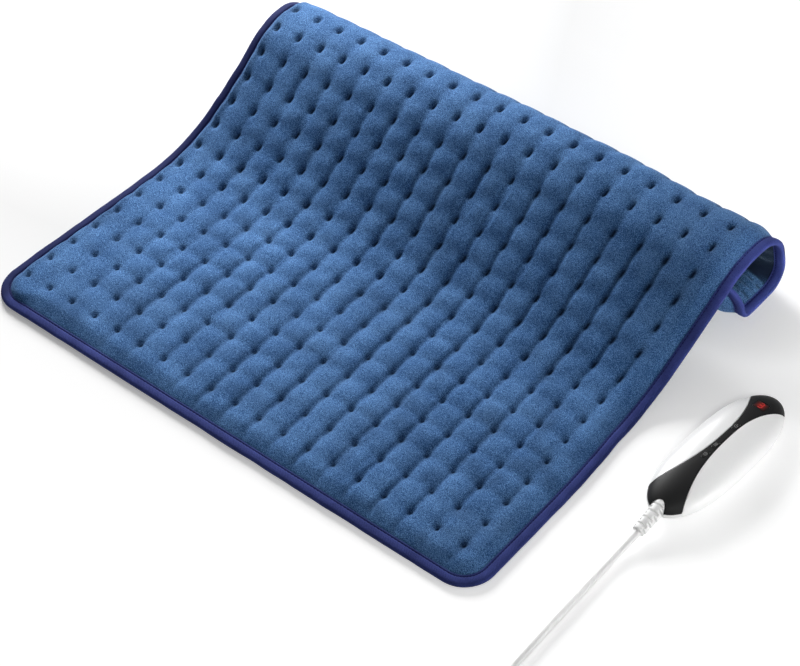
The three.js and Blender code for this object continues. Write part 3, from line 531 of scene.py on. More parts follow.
# How far the soft edges stray sideways: distance along, left edge, right edge
STRAY = np.array([
    (0, -3, 0), (30, -5, 0), (60, -5, 0), (85, -3.4, 0), (110, -2.4, 0), (135, -1.4, -0.4), (165, -0.3, -1.8),
    (190, 0, -3.6), (215, 0.4, -4), (240, 1.2, -3.8), (265, 2.6, -2.8), (290, 3.6, -1.5), (320, 3.3, 0),
    (350, 1, 1.2), (380, -1, 2.4), (410, -2, 3.2), (440, -2, 3.4), (480, -1.5, 3), (520, -1, 2.4), (558, -1, 2),
])


def bend(points):
    """Puts points of the flat pad (across, along, height) on the rolled pad."""
    points = np.asarray(points, float)
    u, v, w = points[..., 0], points[..., 1], points[..., 2]
    left, right = (np.interp(v, STRAY[:, 0], STRAY[:, k]) for k in (1, 2))
    u = u + left * smoothstep(-u, 0, WIDTH / 2) + right * smoothstep(u, 0, WIDTH / 2)
    y, z, heading = (np.interp(v, marks, places[:, k]) for k in range(3))
    lift = w - MIDDLE
    return np.stack([u, y - lift * np.sin(heading), np.maximum(z + lift * np.cos(heading), 0.02)], -1)


PARTS = 12
STEP = PITCH / PARTS
SELVAGE = 1.2


def lattice_lines(first, count, low, high):
    """Grid lines from edge to edge that pass through every weld point."""
    middle = first + np.arange((count - 1) * PARTS + 1) * STEP
    before = np.linspace(low, first, int(round((first - low) / STEP)) + 1)[:-1]
    after = np.linspace(middle[-1], high, int(round((high - middle[-1]) / STEP)) + 1)[1:]
    return np.concatenate([before, middle, after])


def past_corner(u, v):
    """How far points lie past the centres of the corner arcs, across and along."""
    return np.abs(u) - (WIDTH / 2 - CORNER), np.abs(v - LENGTH / 2) - (LENGTH / 2 - CORNER)


def edge_distance(u, v):
    x, y = past_corner(u, v)
    corner = np.hypot(np.maximum(x, 0), np.maximum(y, 0)) + np.minimum(np.maximum(x, y), 0)
    return CORNER - corner


def round_corners(u, v, inset=SELVAGE, ring=14.0):
    """How far each point of a square grid moves so that its outer lines follow the rounded corners."""
    x, y = past_corner(u, v)
    inside = (x > 0) & (y > 0)
    reach = np.maximum(np.maximum(x, y), 1e-6)
    blend = smoothstep(reach, CORNER - inset - ring, CORNER - inset)
    factor = np.where(inside, (reach / np.maximum(np.hypot(x, y), 1e-6) - 1) * blend, 0)
    return np.sign(u) * np.maximum(x, 0) * factor, np.sign(v - LENGTH / 2) * np.maximum(y, 0) * factor


# Quilted cloth: a sheet held down at the weld points and the hem, loose between them, over wadding

lines_u = lattice_lines(COLUMN0, COLUMNS, -WIDTH / 2 + SELVAGE, WIDTH / 2 - SELVAGE)
lines_v = lattice_lines(ROW0, ROWS, SELVAGE, LENGTH - SELVAGE)
U, V = np.meshgrid(lines_u, lines_v)
shift_u, shift_v = round_corners(U, V)
INSET = edge_distance(U + shift_u, V + shift_v)


def pull(a, b, rest, free_a, free_b, stiffness):
    gap = b - a
    length = np.sqrt((gap * gap).sum(-1)) + 1e-9
    share = free_a + free_b
    move = gap * ((length - rest) / length * np.where(share > 0, stiffness / np.maximum(share, 1e-9), 0))[..., None]
    a += move * free_a[..., None]
    b -= move * free_b[..., None]


def pull_pairs(cloth, free, rest, stiffness, here=np.s_[:], there=np.s_[:]):
    """Pulls points of each row and of the next to their rest distance, every other pair of rows at a time."""
    for odd in (0, 1):
        one, two = np.s_[odd:-1:2, here], np.s_[odd + 1::2, there]
        n = min(len(cloth[one]), len(cloth[two]))
        pull(cloth[one][:n], cloth[two][:n], rest[odd::2][:n], free[one][:n], free[two][:n], stiffness)


def weld_offsets(u, v):
    """Offsets from the nearest weld point, across and along."""
    i = np.clip(np.round((u - COLUMN0) / PITCH), 0, COLUMNS - 1)
    j = np.clip(np.round((v - ROW0) / PITCH), 0, ROWS - 1)
    return u - (COLUMN0 + i * PITCH), v - (ROW0 + j * PITCH)


# Heights of weld points, wadding, hem and the highest cloth, then the width of the binding
DEEP, FULL, HEM, CEILING = 4.9, 9.0, 3.5, 10.8
TAPE = 9.4
MOMENTUM, BLOW, SHEAR, SMOOTHING, PUSH = 0.9, 0.004, 0.15, 0.06, 0.5
across, along = weld_offsets(U, V)
CREST = smoothstep(V, FLAT + 135, FLAT + 165) * (1 - smoothstep(V, FLAT + 235, FLAT + 265))
LEVEL = 1 - smoothstep(V, FLAT - 40, FLAT + 60)


def filling(rng):
    """Height of the wadding: full between the welds, with pits at them and creases from pit to pit."""
    ridged = 0.5 + 0.5 * np.tanh((U + 0.35 * (LENGTH / 2 - V)) / 160)
    ridged -= 0.5 * smoothstep(U, 90, 190) * (1 - smoothstep(V, 150, 260))
    reach = np.hypot(1.15 * across, np.maximum(np.abs(along) - 1.0 + 0.7 * LEVEL, 0))
    pit = 1 - np.exp(-(reach / (2.9 - 0.6 * LEVEL - 0.3 * CREST)) ** 1.7)
    middle = 1 - np.cos(np.pi * across / PITCH) ** 2 * np.cos(np.pi * along / PITCH) ** 2
    lengthwise = np.clip(0.2 + 0.75 * ridged + 0.45 * smooth_noise(U.shape, 14, rng), 0, 1.6)
    lengthwise *= np.exp(-(across / 3.2) ** 2)
    crosswise = np.exp(-(along / 2.6) ** 2) * np.clip(0.12 + 0.35 * smooth_noise(U.shape, 14, rng), 0, 1)
    folds = (1.7 * lengthwise + 0.7 * crosswise + 0.35 * (1 - middle)) * (1 - 0.75 * CREST)
    height = DEEP + (FULL - DEEP) * pit - folds + 0.3 * smooth_noise(U.shape, 18, rng)
    slope = 14 - 9 * smoothstep(-U, WIDTH / 2 - 45, WIDTH / 2 - 25)
    rise = 0.2 * smoothstep(INSET, TAPE - 0.6, TAPE + 1.6) + 0.8 * smoothstep(INSET, TAPE - 2, TAPE + slope)
    return HEM + (np.maximum(height, DEEP) - HEM) * rise, ridged, lengthwise * (1 - 0.75 * CREST)


def quilt_cloth(steps):
    rng = np.random.default_rng(11)
    wadding, ridged, creases = filling(rng)

    def uneven():
        return np.clip(1 + 0.5 * smooth_noise(U.shape, 14, rng), 0, 2.4)

    cloth = np.stack([U, V, wadding + 0.3 + 0.35 * smooth_noise(U.shape, 3.2, rng)], -1)
    hem = INSET <= TAPE - 0.2
    pins = (np.abs(across) < 0.6 * STEP) & (np.abs(along) < np.where(LEVEL > 0.5, 0.6, 1.1) * STEP)
    free = np.where(hem | pins, 0.0, 1.0)
    cloth[..., 2] = np.where(hem, HEM, np.where(pins, DEEP, cloth[..., 2]))
    margin = smoothstep(INSET, TAPE + 1, TAPE + 20)
    loose_u = (0.016 + 0.034 * ridged) * (1 - 0.6 * CREST) * uneven() * margin
    loose_v = 0.009 * uneven() * margin
    rest_u = np.diff(U, axis=1) * (1 + loose_u[:, 1:])
    rest_v = np.diff(V, axis=0) * (1 + loose_v[1:])
    rest_d = np.hypot(rest_u[:-1], rest_v[:, :-1])
    before = cloth.copy()
    for _ in range(steps):
        cloth, before = cloth + (cloth - before) * MOMENTUM * free[..., None], cloth
        cloth[..., 2] += free * BLOW
        for _ in range(4):
            pull_pairs(cloth.swapaxes(0, 1), free.T, rest_u.T, 1.0)
            pull_pairs(cloth, free, rest_v, 1.0)
            pull_pairs(cloth, free, rest_d, SHEAR, np.s_[:-1], np.s_[1:])
            pull_pairs(cloth, free, rest_d, SHEAR, np.s_[1:], np.s_[:-1])
        middle = (cloth[:-2, 1:-1] + cloth[2:, 1:-1] + cloth[1:-1, :-2] + cloth[1:-1, 2:]) / 4
        cloth[1:-1, 1:-1] += SMOOTHING * (middle - cloth[1:-1, 1:-1]) * free[1:-1, 1:-1, None]
        cloth[..., 2] += PUSH * np.maximum(wadding - cloth[..., 2], 0) * free
        cloth[..., 2] = np.clip(cloth[..., 2], HEM, CEILING)
    return cloth, creases


cloth, creases = quilt_cloth(90)
cloth[..., 0] += shift_u
cloth[..., 1] += shift_v
# The crest is fuller in its middle
ridge = np.interp(U, [-254, -170, -116, -62, -8, 45, 98, 125, 152, 178],
                  [0, 0.8, 1.3, 1.9, 3, 3.6, 3.1, 2.5, 1.2, 0])
ridge *= smoothstep(V, FLAT + 120, FLAT + 195) * (1 - smoothstep(V, FLAT + 228, FLAT + 285))
cloth[..., 2] += ridge


def inner_face(boundary, height_in, height_hem):
    """Triangles that close a cover on its inner side, over a coarse grid and the cover's own edge."""
    margin = 22
    us = np.linspace(-WIDTH / 2 + margin, WIDTH / 2 - margin, 12)
    vs = np.concatenate([np.arange(margin, FLAT, 25), np.arange(FLAT, LENGTH - 20, 6)])
    inside = [(u, v) for v in vs for u in us if edge_distance(u, v) > TAPE + 9]
    flat = [Vector(p) for p in np.vstack([boundary, np.array(inside)])]
    n = len(boundary)
    ring = [(k, (k + 1) % n) for k in range(n)]
    points, _, faces, origin, _, _ = delaunay_2d_cdt(flat, ring, [], 1, 1e-4)
    order = [o[0] if o else -1 for o in origin]
    points = np.array([tuple(p) for p in points])
    ramp = smoothstep(edge_distance(points[:, 0], points[:, 1]), TAPE, TAPE + 8)
    w = height_hem + (height_in - height_hem) * ramp
    return np.column_stack([points, w]), [list(f) for f in faces], order


def rim_indices(rows, columns):
    index = np.arange(rows * columns).reshape(rows, columns)
    return np.concatenate([index[0, :], index[1:, -1], index[-1, -2::-1], index[-2:0:-1, 0]])


def cover(name, sheet, hem, inside, faces_up, material, nap_and_painted_shade):
    """A closed cover: the cloth outside, a coarse face inside, and a thin edge between them."""
    rows, columns = sheet.shape[:2]
    points = sheet.reshape(-1, 3)
    rim = rim_indices(rows, columns)
    lining, triangles, order = inner_face(points[rim][:, :2], inside, hem)
    start = len(points)
    edge = {o: start + k for k, o in enumerate(order) if 0 <= o < len(rim)}
    faces = grid_faces(rows, columns, flip=not faces_up)
    for tri in triangles:
        tri = [start + i for i in tri]
        faces.append(tri[::-1] if faces_up else tri)
    n = len(rim)
    for k in range(n):
        a, b = int(rim[k]), int(rim[(k + 1) % n])
        c, d = edge[(k + 1) % n], edge[k]
        faces.append([b, a, d, c] if faces_up else [a, b, c, d])
    obj = mesh_object(name, bend(np.vstack([points, lining])), faces, material)
    # Point attribute of painted shade and nap tone, which the material mixes towards a dimmed dark
    marked = obj.data.attributes.new("nap_and_painted_shade", "FLOAT", "POINT")
    marked.data.foreach_set("value", np.concatenate([nap_and_painted_shade.ravel(), np.zeros(len(lining))]))
    return obj


# Painted shade on the pile, with its nap: darkest in the weld pits, softer round them and in the creases, mottled
# between them

weld = np.hypot(across, np.maximum(np.abs(along) - 1.2 + 0.8 * LEVEL, 0))
face_nap_and_shade = 0.92 * np.exp(-(weld / (1.35 - 0.25 * LEVEL)) ** 2) + 0.26 * np.exp(-(weld / 4.8) ** 2) + 0.16 * creases
rng = np.random.default_rng(31)
# Painted shade: the nap's mottling is darker towards the front right
near_front = smoothstep(U, 60, 160) * (1 - smoothstep(V, 170, 280))
nap = np.clip(0.15 + 0.6 * smooth_noise(U.shape, 5, rng) + 0.5 * smooth_noise(U.shape, 11, rng), 0, 1.6)
face_nap_and_shade += (0.13 + 0.06 * near_front) * nap * (1 - 0.6 * CREST)
# Painted shade over the right end of the rise and crest
face_nap_and_shade += 0.34 * smoothstep(U, 130, 235) * smoothstep(V, FLAT + 70, FLAT + 140)
# Painted shade in a band just inside the left hem
at_left = smoothstep(-U, WIDTH / 2 - 40, WIDTH / 2 - 25)
face_nap_and_shade += 0.3 * at_left * np.exp(-((INSET - 13) / 5) ** 2)
# Painted shade where the cloth meets the binding
face_nap_and_shade = np.maximum(np.clip(face_nap_and_shade, 0, 1), 0.5 * (1 - smoothstep(INSET, TAPE, TAPE + 1.6)))
top = cover("plush_face", cloth, 2.7, 4.7, True, plush, face_nap_and_shade)
settle(top, "plush", ["top_cover"], angle=180)

# Back: quilted where the pad lifts, in loose folds inside the roll

rng = np.random.default_rng(23)
raised = smoothstep(V, FLAT + 5, FLAT + 75)
rolled_in = smoothstep(V, FLAT + 215, FLAT + 245)
inland = smoothstep(INSET, TAPE, TAPE + 9 - 5 * rolled_in)
phase = V / 21 + (WIDTH / 2 - U) / 110 + 0.3 * smooth_noise(U.shape, 22, rng)
fold = np.abs(np.sin(2 * np.pi * phase)) * np.clip(0.8 + 0.4 * smooth_noise(U.shape, 10, rng), 0.2, 1.3)
puffs = np.clip(cloth[..., 2] - ridge - DEEP, 0, 6) * 0.5 + 2.6 * rolled_in * fold
under = 1.6 * (1 - inland) + 0.5 * np.exp(-(weld / 3) ** 2) * inland - raised * inland * puffs
back = np.stack([U + shift_u, V + shift_v, under], -1)
every = np.arange(back.shape[0])
rows_kept = every[(every % 2 == 0) | (lines_v > FLAT + 205) | (every == every[-1])]
columns_kept = np.unique(np.r_[np.arange(0, back.shape[1], 2), back.shape[1] - 1])
kept = np.ix_(rows_kept, columns_kept)
# Painted shade inside the roll: at its top, in the valleys of the folds, and the face's painted shade carried over
shaded = smoothstep(V, 385, 415) * (1 - smoothstep(V, 455, 482))
shaded += 0.85 * rolled_in * (1 - np.clip(1.5 * fold, 0, 1))
back_nap_and_shade = np.clip(np.maximum(0.7 * face_nap_and_shade, shaded), 0, 1)
back_cover = cover("plush_underside", back[kept], 2.4, 1.0, False, plush_back, back_nap_and_shade[kept])
settle(back_cover, "plush_back", ["bottom_cover"], angle=180)


# Binding: a tape folded round the edge, with a stitched groove on both faces

def edge_path(step):
    """Points along the pad's outline with the inward direction at each."""
    half_w, half_l, r = WIDTH / 2, LENGTH / 2, CORNER
    corners = [(half_w - r, -half_l + r, -90), (half_w - r, half_l - r, 0),
               (-half_w + r, half_l - r, 90), (-half_w + r, -half_l + r, 180)]
    out = []
    for k, (cu, cv, start) in enumerate(corners):
        turns = int(r * math.pi / 2 / step)
        for t in range(turns):
            a = math.radians(start + 90 * t / turns)
            out.append((cu + r * math.cos(a), cv + r * math.sin(a), -math.cos(a), -math.sin(a)))
        nu, nv, _ = corners[(k + 1) % 4]
        a = math.radians(start + 90)
        begin = (cu + r * math.cos(a), cv + r * math.sin(a))
        end = (nu + r * math.cos(a), nv + r * math.sin(a))
        runs = int(math.dist(begin, end) / step)
        for t in range(runs):
            u = begin[0] + (end[0] - begin[0]) * t / runs
            v = begin[1] + (end[1] - begin[1]) * t / runs
            out.append((u, v, -math.cos(a), -math.sin(a)))
    out = np.array(out)
    out[:, 1] += half_l
    return out


def wander(count, cell, rng):
    """Smooth noise round a closed loop."""
    knots = rng.standard_normal(int(count / cell) + 1)
    at = np.arange(count) / count * len(knots)
    low = at.astype(int)
    f = smoothstep(at - low, 0, 1)
    return knots[low % len(knots)] * (1 - f) + knots[(low + 1) % len(knots)] * f


rng = np.random.default_rng(5)
path = edge_path(2.4)
section = np.array([
    (9.4, 4.0), (9.35, 4.5), (8.9, 4.75), (8.4, 4.62), (8.0, 4.3), (7.75, 4.15), (7.5, 4.3), (7.1, 4.7),
    (6.2, 4.92), (4.6, 4.98), (2.8, 4.9), (1.4, 4.6), (0.45, 3.9), (0.0, 2.55), (0.45, 1.2), (1.4, 0.5),
    (2.8, 0.3), (4.6, 0.28), (6.2, 0.32), (7.1, 0.5), (7.5, 0.82), (7.75, 0.92), (8.0, 0.85), (8.4, 0.52),
    (8.9, 0.42), (9.35, 0.62), (9.4, 1.05), (9.3, 1.28), (5, 1.3), (1.1, 1.35), (0.95, 2.55), (1.1, 3.75),
    (5, 3.8), (9.3, 3.8),
])
upper_count, outer_count = 14, 27
pucker = wander(len(path), 3, rng) * 0.10 + wander(len(path), 9, rng) * 0.12
lean = wander(len(path), 6, rng) * 0.18
number = np.arange(len(section))
weight = np.where(number < outer_count, np.clip((TAPE - section[:, 0]) / 7, 0, 1), 0)
outward = np.where(number < upper_count, 1, -1)
rings = []
for (u, v, iu, iv), puff, sway in zip(path, pucker, lean):
    d = section[:, 0] + sway * weight * 0.6
    w = section[:, 1] + outward * puff * weight
    rings.append(np.column_stack([u + iu * d, v + iv * d, np.maximum(w, 0.05)]))
rings = np.array(rings)
tape_faces = grid_faces(len(rings), len(section), closed=True, looped=True)
tape = mesh_object("binding_tape", bend(rings.reshape(-1, 3)), tape_faces, binding)
# Painted shade on the binding along the left edge
shade = tape.data.attributes.new("shade", "FLOAT", "POINT")
shade.data.foreach_set("value", 0.7 * smoothstep(-rings[..., 0].ravel(), WIDTH / 2 - 30, WIDTH / 2 - 12))
settle(tape, "binding", ["edge_binding"], angle=70)

stitch_bodies = []
seam = edge_path(1.1)
stride, groove = 3, 7.75
turns = np.arange(6) * math.pi / 3
for first in range(0, len(seam) - stride, stride):
    line = seam[first:first + stride]
    for height, way in ((4.32, 1), (0.76, -1)):
        loops = []
        for (u, v, iu, iv), thick, sink in zip(line, (0.18, 0.3, 0.18), (0.28, 0.0, 0.28)):
            d = groove + thick * np.cos(turns)
            w = height - way * sink + thick * np.sin(turns)
            loops.append(np.column_stack([u + iu * d, v + iv * d, w]))
        stitch_bodies.append(tube(loops))
stitch_points, stitch_faces = join(stitch_bodies)
stitches = mesh_object("binding_stitches", bend(stitch_points), stitch_faces, thread)
settle(stitches, "binding", angle=80)


# Controller housing

HALF_L, HALF_W, PARTING, DOME, BOWL = 75.0, 27.3, 11.5, 15.4, 13.0
SHELL, PANEL_BED, PANEL, ABOVE = 2.4, 1.3, 1.0, 30
WAIST_Y, WAIST, FLARE = 13, 2.6, 2.4


def fullness(y):
    return np.sqrt(np.maximum(1 - np.abs(np.asarray(y) / HALF_L) ** 2.78, 0))


def dome_height(x, y):
    return PARTING + DOME * np.sqrt(np.maximum(fullness(y) ** 2 - (np.asarray(x) / HALF_W) ** 2, 0))


def waist(y, side):
    """Half the width of the fascia, which flares to both ends, at the cord end more to one side."""
    away = np.abs(y - WAIST_Y)
    near = 12.4 if side > 0 else 17.0
    return WAIST + np.where(y < WAIST_Y, near * (away / 73) ** FLARE, 12.2 * (away / 49) ** FLARE)


def shell_section(y, f, rise):
    """Gives the points of one cross-section of the housing, by angle round it and depth below its skin."""
    def point(angle, inset):
        wide = np.maximum(HALF_W * f - inset, 0.02)
        high = np.maximum(abs(rise) * f - inset, 0.02)
        sign = 1 if rise > 0 else -1
        return (wide * math.cos(angle), y * (1 - inset / HALF_L), PARTING + sign * high * math.sin(angle))

    return point


def panel_angle(y, f, side):
    flank = math.acos(min((float(waist(y, side)) + 0.3) / max(HALF_W * f, 1e-6), 1))
    return max(flank, math.asin(min(1.5 / max(DOME * f, 1e-6), 0.95)))


def arc_speed(f, angle):
    return max(math.hypot(HALF_W * f * math.sin(angle), DOME * f * math.cos(angle)), 0.4)


def upper_ring(y):
    f = float(fullness(y))
    point = shell_section(y, f, DOME)
    halves = []
    for way in (1, -1):
        edge = panel_angle(y, f, way)
        unit = min(1 / arc_speed(f, edge), edge)
        start = 0.2 * unit
        half = [point(0.0, 0.18)]
        half += [point(start + (edge - 0.5 * unit - start) * k / 12, 0) for k in range(13)]
        half += [point(edge - 0.35 * unit, 0), point(edge - 0.12 * unit, 0.08),
                 point(edge, 0.32), point(edge, PANEL_BED)]
        half += [point(edge + (math.pi / 2 - edge) * k / 6, PANEL_BED) for k in range(1, 7)]
        halves.append([(way * x, b, z) for x, b, z in half])
    inside = [point(math.pi - math.pi * k / 20, SHELL) for k in range(21)]
    return halves[0] + halves[1][-2::-1] + inside


def panel_ring(y):
    f = float(fullness(y))
    point = shell_section(y, f, DOME)
    halves, starts = [], []
    for way in (1, -1):
        edge = panel_angle(y, f, way)
        unit = 1 / arc_speed(f, edge)
        edge = edge + 0.3 * unit
        start = edge + 0.32 * unit
        half = [point(edge, PANEL), point(edge, 0.3), point(edge + 0.1 * unit, 0.08), point(start, 0)]
        half += [point(start + (math.pi / 2 - start) * k / 12, 0) for k in range(1, 13)]
        halves.append([(way * x, b, z) for x, b, z in half])
        starts.append(edge)
    first, last = math.pi - starts[1], starts[0]
    inside = [point(first + (last - first) * k / 10, PANEL) for k in range(1, 10)]
    return halves[0] + halves[1][-2::-1] + inside


def lower_ring(y):
    f = float(fullness(y))
    point = shell_section(y, f, -BOWL)
    start = math.asin(min(0.3 / max(BOWL * f, 0.05), 0.6))
    out = [point(start, 0.25)]
    out += [point(start + 0.02 + (math.pi - 2 * start - 0.04) * k / 40, 0) for k in range(41)]
    out.append(point(math.pi - start, 0.25))
    inside = [point(math.pi - start - (math.pi - 2 * start) * k / 20, SHELL) for k in range(21)]
    return [(x, b, max(z, 0.0)) for x, b, z in out] + [(x, b, max(z, SHELL)) for x, b, z in inside]


def key_outline(y, grow):
    return arcs(((0, y + 2.3, 0), (0, y - 2.3, 180)), 1.7 + grow, 180, 14)


def rounded_box(width, length, y, corner):
    x, low, high = width / 2 - corner, y - length / 2 + corner, y + length / 2 - corner
    return arcs(((x, high, 0), (-x, high, 90), (-x, low, 180), (x, low, 270)), corner, 90, 6)


def prism(outline, bottom, top):
    return tube([np.column_stack([outline, np.full(len(outline), z)]) for z in (bottom, top)])


def cord_hole(begin, end, radius=6.4, sides=48):
    a = 2 * math.pi * np.arange(sides) / sides
    x, z = radius * np.cos(a), RELIEF_Z + radius * np.sin(a)
    return tube([np.column_stack([x, np.full(sides, y), z]) for y in (end, begin)])


def post(diameter, bottom, top, x, y, sides=28):
    a = 2 * math.pi * np.arange(sides) / sides
    outline = np.column_stack([x + diameter / 2 * np.cos(a), y + diameter / 2 * np.sin(a)])
    return prism(outline, bottom, top)


BUTTONS = {"power": 22.0, "heat": -3.0, "timer": -15.5}
SCREWS = [(12, 42), (-12, 42), (13.5, -38), (-13.5, -38)]
DISPLAY_Y = 54
openings = [prism(key_outline(y, 0.3), PARTING, ABOVE) for y in BUTTONS.values()]
openings.append(prism(rounded_box(11.6, 9.6, DISPLAY_Y, 1.5), PARTING + 2, ABOVE))
tilted, tilted_faces = cord_hole(-79, RELIEF_BEND - 0.01)
cord_holes = [cord_hole(-77, -52.3), (droop(tilted), tilted_faces)]
count = 120
ys = -HALF_L * np.cos(np.pi * (np.arange(count) + 0.35) / (count - 0.3))

for name, ring, slot, node in (("housing_top", upper_ring, "white_shell", "upper_shell"),
                               ("panel_inlay", panel_ring, "black_fascia", "fascia")):
    half = mesh_object(name, *tube([ring(y) for y in ys[::-1]]), finishes[slot])
    carve(half, [*openings, *cord_holes])
    seat_object(half)
    settle(half, slot, [node], angle=35)

# The lower half has four screw bosses, with recesses for the heads and holes for the screws
lower = mesh_object("housing_bottom", *tube([lower_ring(y) for y in ys]), white_shell)
carve(lower, [post(8, 1.2, 6.5, x, y) for x, y in SCREWS], "UNION")
carve(lower, [post(5.6, -1, 3.9, x, y) for x, y in SCREWS])
carve(lower, [post(2.8, 0, 8, x, y) for x, y in SCREWS])
carve(lower, cord_holes)
seat_object(lower)
settle(lower, "white_shell", ["lower_shell"], angle=35)


def cap(outline, centre, profile, bottom):
    """A key or lens whose top follows the dome: profile gives shares of the outline and heights over the dome."""
    rings = [np.column_stack([outline, np.full(len(outline), bottom)])]
    for share, lift in profile:
        flat = np.asarray(centre) + (outline - centre) * share
        rings.append(np.column_stack([flat, dome_height(flat[:, 0], flat[:, 1]) + lift]))
    return tube(rings)


def ribbon(lines, width, lift):
    """Thin raised strokes on the dome."""
    bodies = []
    for line in lines:
        line = np.asarray(line, float)
        way = np.gradient(line, axis=0)
        way /= np.linalg.norm(way, axis=1, keepdims=True)
        side = np.column_stack([-way[:, 1], way[:, 0]]) * width / 2
        loops = []
        for p, s in zip(line, side):
            corners = []
            for flat, rise in ((p - s, 0.0), (p + s, 0.0), (p + s * 0.8, 0.06), (p - s * 0.8, 0.06)):
                corners.append((flat[0], flat[1], float(dome_height(flat[0], flat[1])) + lift + rise))
            loops.append(corners)
        bodies.append(tube(loops))
    return join(bodies)


def ring_line(y, radius, begin, end, count=18):
    a = np.radians(np.linspace(begin, end, count))
    return np.column_stack([radius * np.cos(a), y + radius * np.sin(a)])


def wave_line(x, y, length):
    t = np.linspace(-0.5, 0.5, 12)
    return np.column_stack([x + 0.22 * np.sin(t * 2 * math.pi), y + t * length])


power, heat, timer = BUTTONS.values()
icons = {
    "power": [ring_line(power, 1.3, 120, 420), [(0, power + 0.2), (0, power + 1.2), (0, power + 2.2)]],
    "heat": [wave_line(x, heat, 3.4) for x in (-0.95, 0.0, 0.95)],
    "timer": [ring_line(timer, 1.35, 0, 360, 24), [(0, timer + 1), (0, timer), (0.8, timer - 0.4)]],
}
key_profile = [(1, -0.3), (1, 0.06), (0.97, 0.15), (0.88, 0.2), (0.6, 0.22), (0.3, 0.21), (0.05, 0.2)]
for name, y in BUTTONS.items():
    key = mesh_object(f"{name}_keycap", *cap(key_outline(y, 0), (0, y), key_profile, 17.95), button_black)
    seat_object(key)
    settle(key, "button_black", [f"{name}_button"], f"{name}_key", angle=50)
    mark = mesh_object(f"{name}_mark", *ribbon(icons[name], 0.3, 0.19), icon_grey)
    seat_object(mark)
    settle(mark, "button_black", body=f"{name}_key", angle=60)

lens_profile = [(1, -0.25), (0.985, -0.06), (0.95, 0.0), (0.75, 0.02), (0.5, 0.03), (0.25, 0.03), (0.05, 0.03)]
lens_outline = rounded_box(11, 9, DISPLAY_Y, 1.3)
lens = mesh_object("display_lens", *cap(lens_outline, (0, DISPLAY_Y), lens_profile, 20.0), smoked_window)
glow = lens.data.attributes.new("glow", "FLOAT", "POINT")
spots = np.array([v.co[:] for v in lens.data.vertices]) / MM
glow.data.foreach_set("value", np.exp(-((spots[:, 0] / 3.0) ** 2 + ((spots[:, 1] - DISPLAY_Y) / 3.0) ** 2)))
seat_object(lens)
settle(lens, "smoked_window", ["display_window"], angle=50)

bars = [((-1.3, 3), (1.3, 3)), ((1.6, 2.7), (1.6, 0.3)), ((-1.3, 0), (1.3, 0)),
        ((1.6, -0.3), (1.6, -2.7)), ((-1.3, -3), (1.3, -3))]
segments = [np.linspace(begin, end, 4) + [0, DISPLAY_Y] for begin, end in bars]
digit = mesh_object("display_digit", *ribbon(segments, 0.8, 0.02), red_digit)
seat_object(digit)
settle(digit, "red_display", angle=60)


# Strain relief: a tapered sleeve with slots cut from two sides in turn

def relief_radius(y):
    return np.interp(-y, [55.3, 55.4, 57.2, 57.3, 58, 72.4, 73.6, 93.9, 94.7, 95],
                     [6.5, 6.8, 6.8, 6.4, 6.1, 6.1, 6.05, 5.34, 5.1, 4.6])


SLOTS = [(-70.3 - 3.3 * k, k % 2) for k in range(8)]
SLOT_CORE, SLOT_SPINE, RELIEF_SIDES = 3.35, 3.0, 72
relief_ys = {-55.3, -55.4, -57.2, -57.3, -58.0, -63.0, -68.0, -72.4, -73.0, -73.6, -93.9, -94.4, -94.7, -95.0}
for middle, _ in SLOTS:
    relief_ys |= {round(middle + s * x, 3) for s in (-1, 1) for x in (0, 0.55, 0.75, 0.9, 1.15)}
around = 2 * math.pi * np.arange(RELIEF_SIDES) / RELIEF_SIDES
relief_rings = []
for y in sorted(relief_ys):
    radius = np.full(RELIEF_SIDES, float(relief_radius(y)))
    for middle, sideways in SLOTS:
        reach = np.abs(np.cos(around) if sideways else np.sin(around))
        if abs(y - middle) <= 0.78:
            radius = np.minimum(radius, np.maximum(SLOT_CORE, SLOT_SPINE / np.maximum(reach, 1e-6)))
        elif abs(y - middle) <= 0.95:
            radius = np.where(reach * radius > SLOT_SPINE, radius - 0.1, radius)
    ring = np.column_stack([radius * np.cos(around), np.full(RELIEF_SIDES, y), RELIEF_Z + radius * np.sin(around)])
    relief_rings.append(droop(ring))
relief = mesh_object("cord_relief", *tube(relief_rings[::-1]), white_cord)
seat_object(relief)
settle(relief, "white_cord", ["strain_relief"], angle=45)


# Floor and light

# Place, target, power, half the beam's spread in degrees, size
LAMPS = {
    "window": ((-0.9, 0.75, 0.55), (-0.06, 0.05, 0), 7.1, 45, (0.6, 0.6)),
    "fill": ((0.75, 0.12, 0.1), (0.29, 0.16, 0.02), 1.0, 89, (0.25, 0.1)),
    "snoot": ((0.6, -0.2, 0.46), (0.37, 0.11, 0), 0.036, 13, (0.12, 0.12)),
    "strip": ((0.352, -0.2, 0.5), (0.352, -0.065, 0), 0.019, 12, (0.05, 0.08)),
    "rim": ((0.62, 0.16, 0.2), (0.26, 0.27, 0.045), 0.030, 10, (0.06, 0.06)),
}
SKY, PAPER, WHITE = 0.2, 0.85, 1.07
FLOOR_HALF, FLOOR_Z = 4000, -0.3


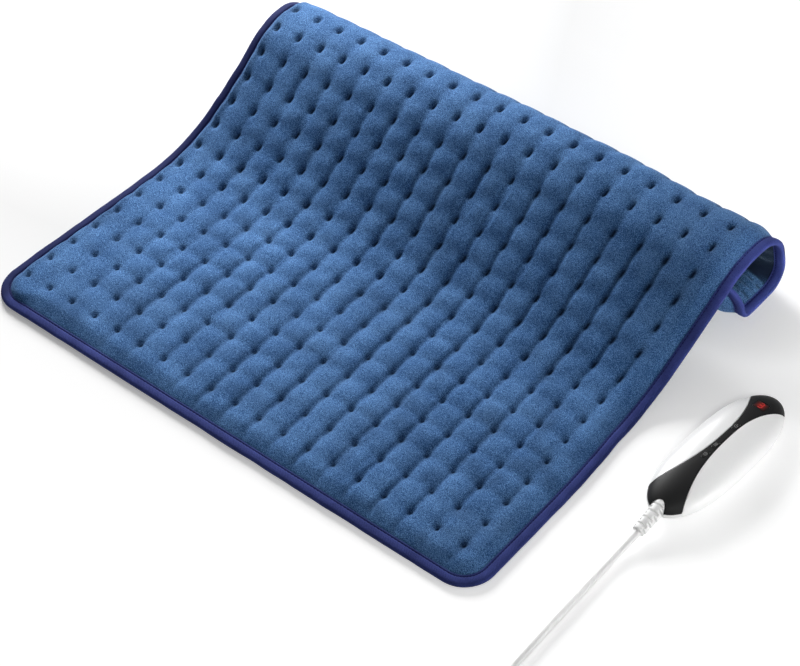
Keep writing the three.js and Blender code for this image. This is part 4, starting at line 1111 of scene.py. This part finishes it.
def light_on_floor(n, place, target, power, half):
    """What a lamp gives an open floor, as a node value."""
    def vector_node(operation, first, second=None):
        node = n.tree.nodes.new("ShaderNodeVectorMath")
        node.operation = operation
        n.link(first, node.inputs[0])
        if second is not None:
            node.inputs[1].default_value = second
        return node.outputs

    half = math.radians(half)
    ray = vector_node("SUBTRACT", n.coordinates, place)["Vector"]
    reach = vector_node("LENGTH", ray)["Value"]
    axis = (Vector(target) - Vector(place)).normalized()
    ahead = n.math("MAXIMUM", vector_node("DOT_PRODUCT", ray, axis)["Value"], 0.02)
    sideways = n.math("SQRT", n.math("SUBTRACT", n.math("POWER", reach, 2), n.math("POWER", ahead, 2)), 0)
    beam = n.math("MAXIMUM", n.math("SUBTRACT", math.tan(half), n.math("DIVIDE", sideways, ahead)), 0)
    strength = power * place[2] / math.pi ** 2 / (math.tan(half) - half)
    return n.math("MULTIPLY", n.math("MULTIPLY", beam, strength), n.math("DIVIDE", ahead, n.math("POWER", reach, 4)))


def floor_material():
    """White paper: what the camera and mirrors see of it is lifted to white, with the shadows kept."""
    made, bsdf = shader("floor", (PAPER, PAPER, PAPER), 0.9, specular_ior_level=0.0, emission_color=(1, 1, 1, 1))
    n = Nodes(made, bsdf)
    rays = n.tree.nodes.new("ShaderNodeLightPath").outputs
    mirrored = n.math("MAXIMUM", rays["Is Glossy Ray"], rays["Is Transmission Ray"])
    seen = n.math("MAXIMUM", rays["Is Camera Ray"], mirrored)
    lit = SKY
    for name in ("window", "snoot", "strip", "rim"):
        lit = n.math("ADD", light_on_floor(n, *LAMPS[name][:4]), lit)
    lift = n.math("MAXIMUM", n.math("SUBTRACT", WHITE, n.math("MULTIPLY", lit, PAPER)), 0)
    n.link(n.math("MULTIPLY", seen, lift), bsdf.inputs["Emission Strength"])
    return made


floor_corners = [(x * FLOOR_HALF, y * FLOOR_HALF, FLOOR_Z) for x, y in ((-1, -1), (1, -1), (1, 1), (-1, 1))]
floor = mesh_object("floor", floor_corners, [(0, 1, 2, 3)], floor_material())

world = bpy.data.worlds.new("studio")
world.use_nodes = True
world.node_tree.nodes["Background"].inputs["Color"].default_value = (1, 1, 1, 1)
world.node_tree.nodes["Background"].inputs["Strength"].default_value = SKY
scene.world = world

for name, (place, target, power, half, size) in LAMPS.items():
    data = bpy.data.lights.new(name, "AREA")
    data.energy = power
    data.shape = "RECTANGLE"
    data.size, data.size_y = size
    data.spread = math.radians(2 * half)
    lamp = bpy.data.objects.new(name, data)
    scene.collection.objects.link(lamp)
    lamp.location = place
    lamp.rotation_euler = (Vector(target) - Vector(place)).to_track_quat("-Z", "Y").to_euler()
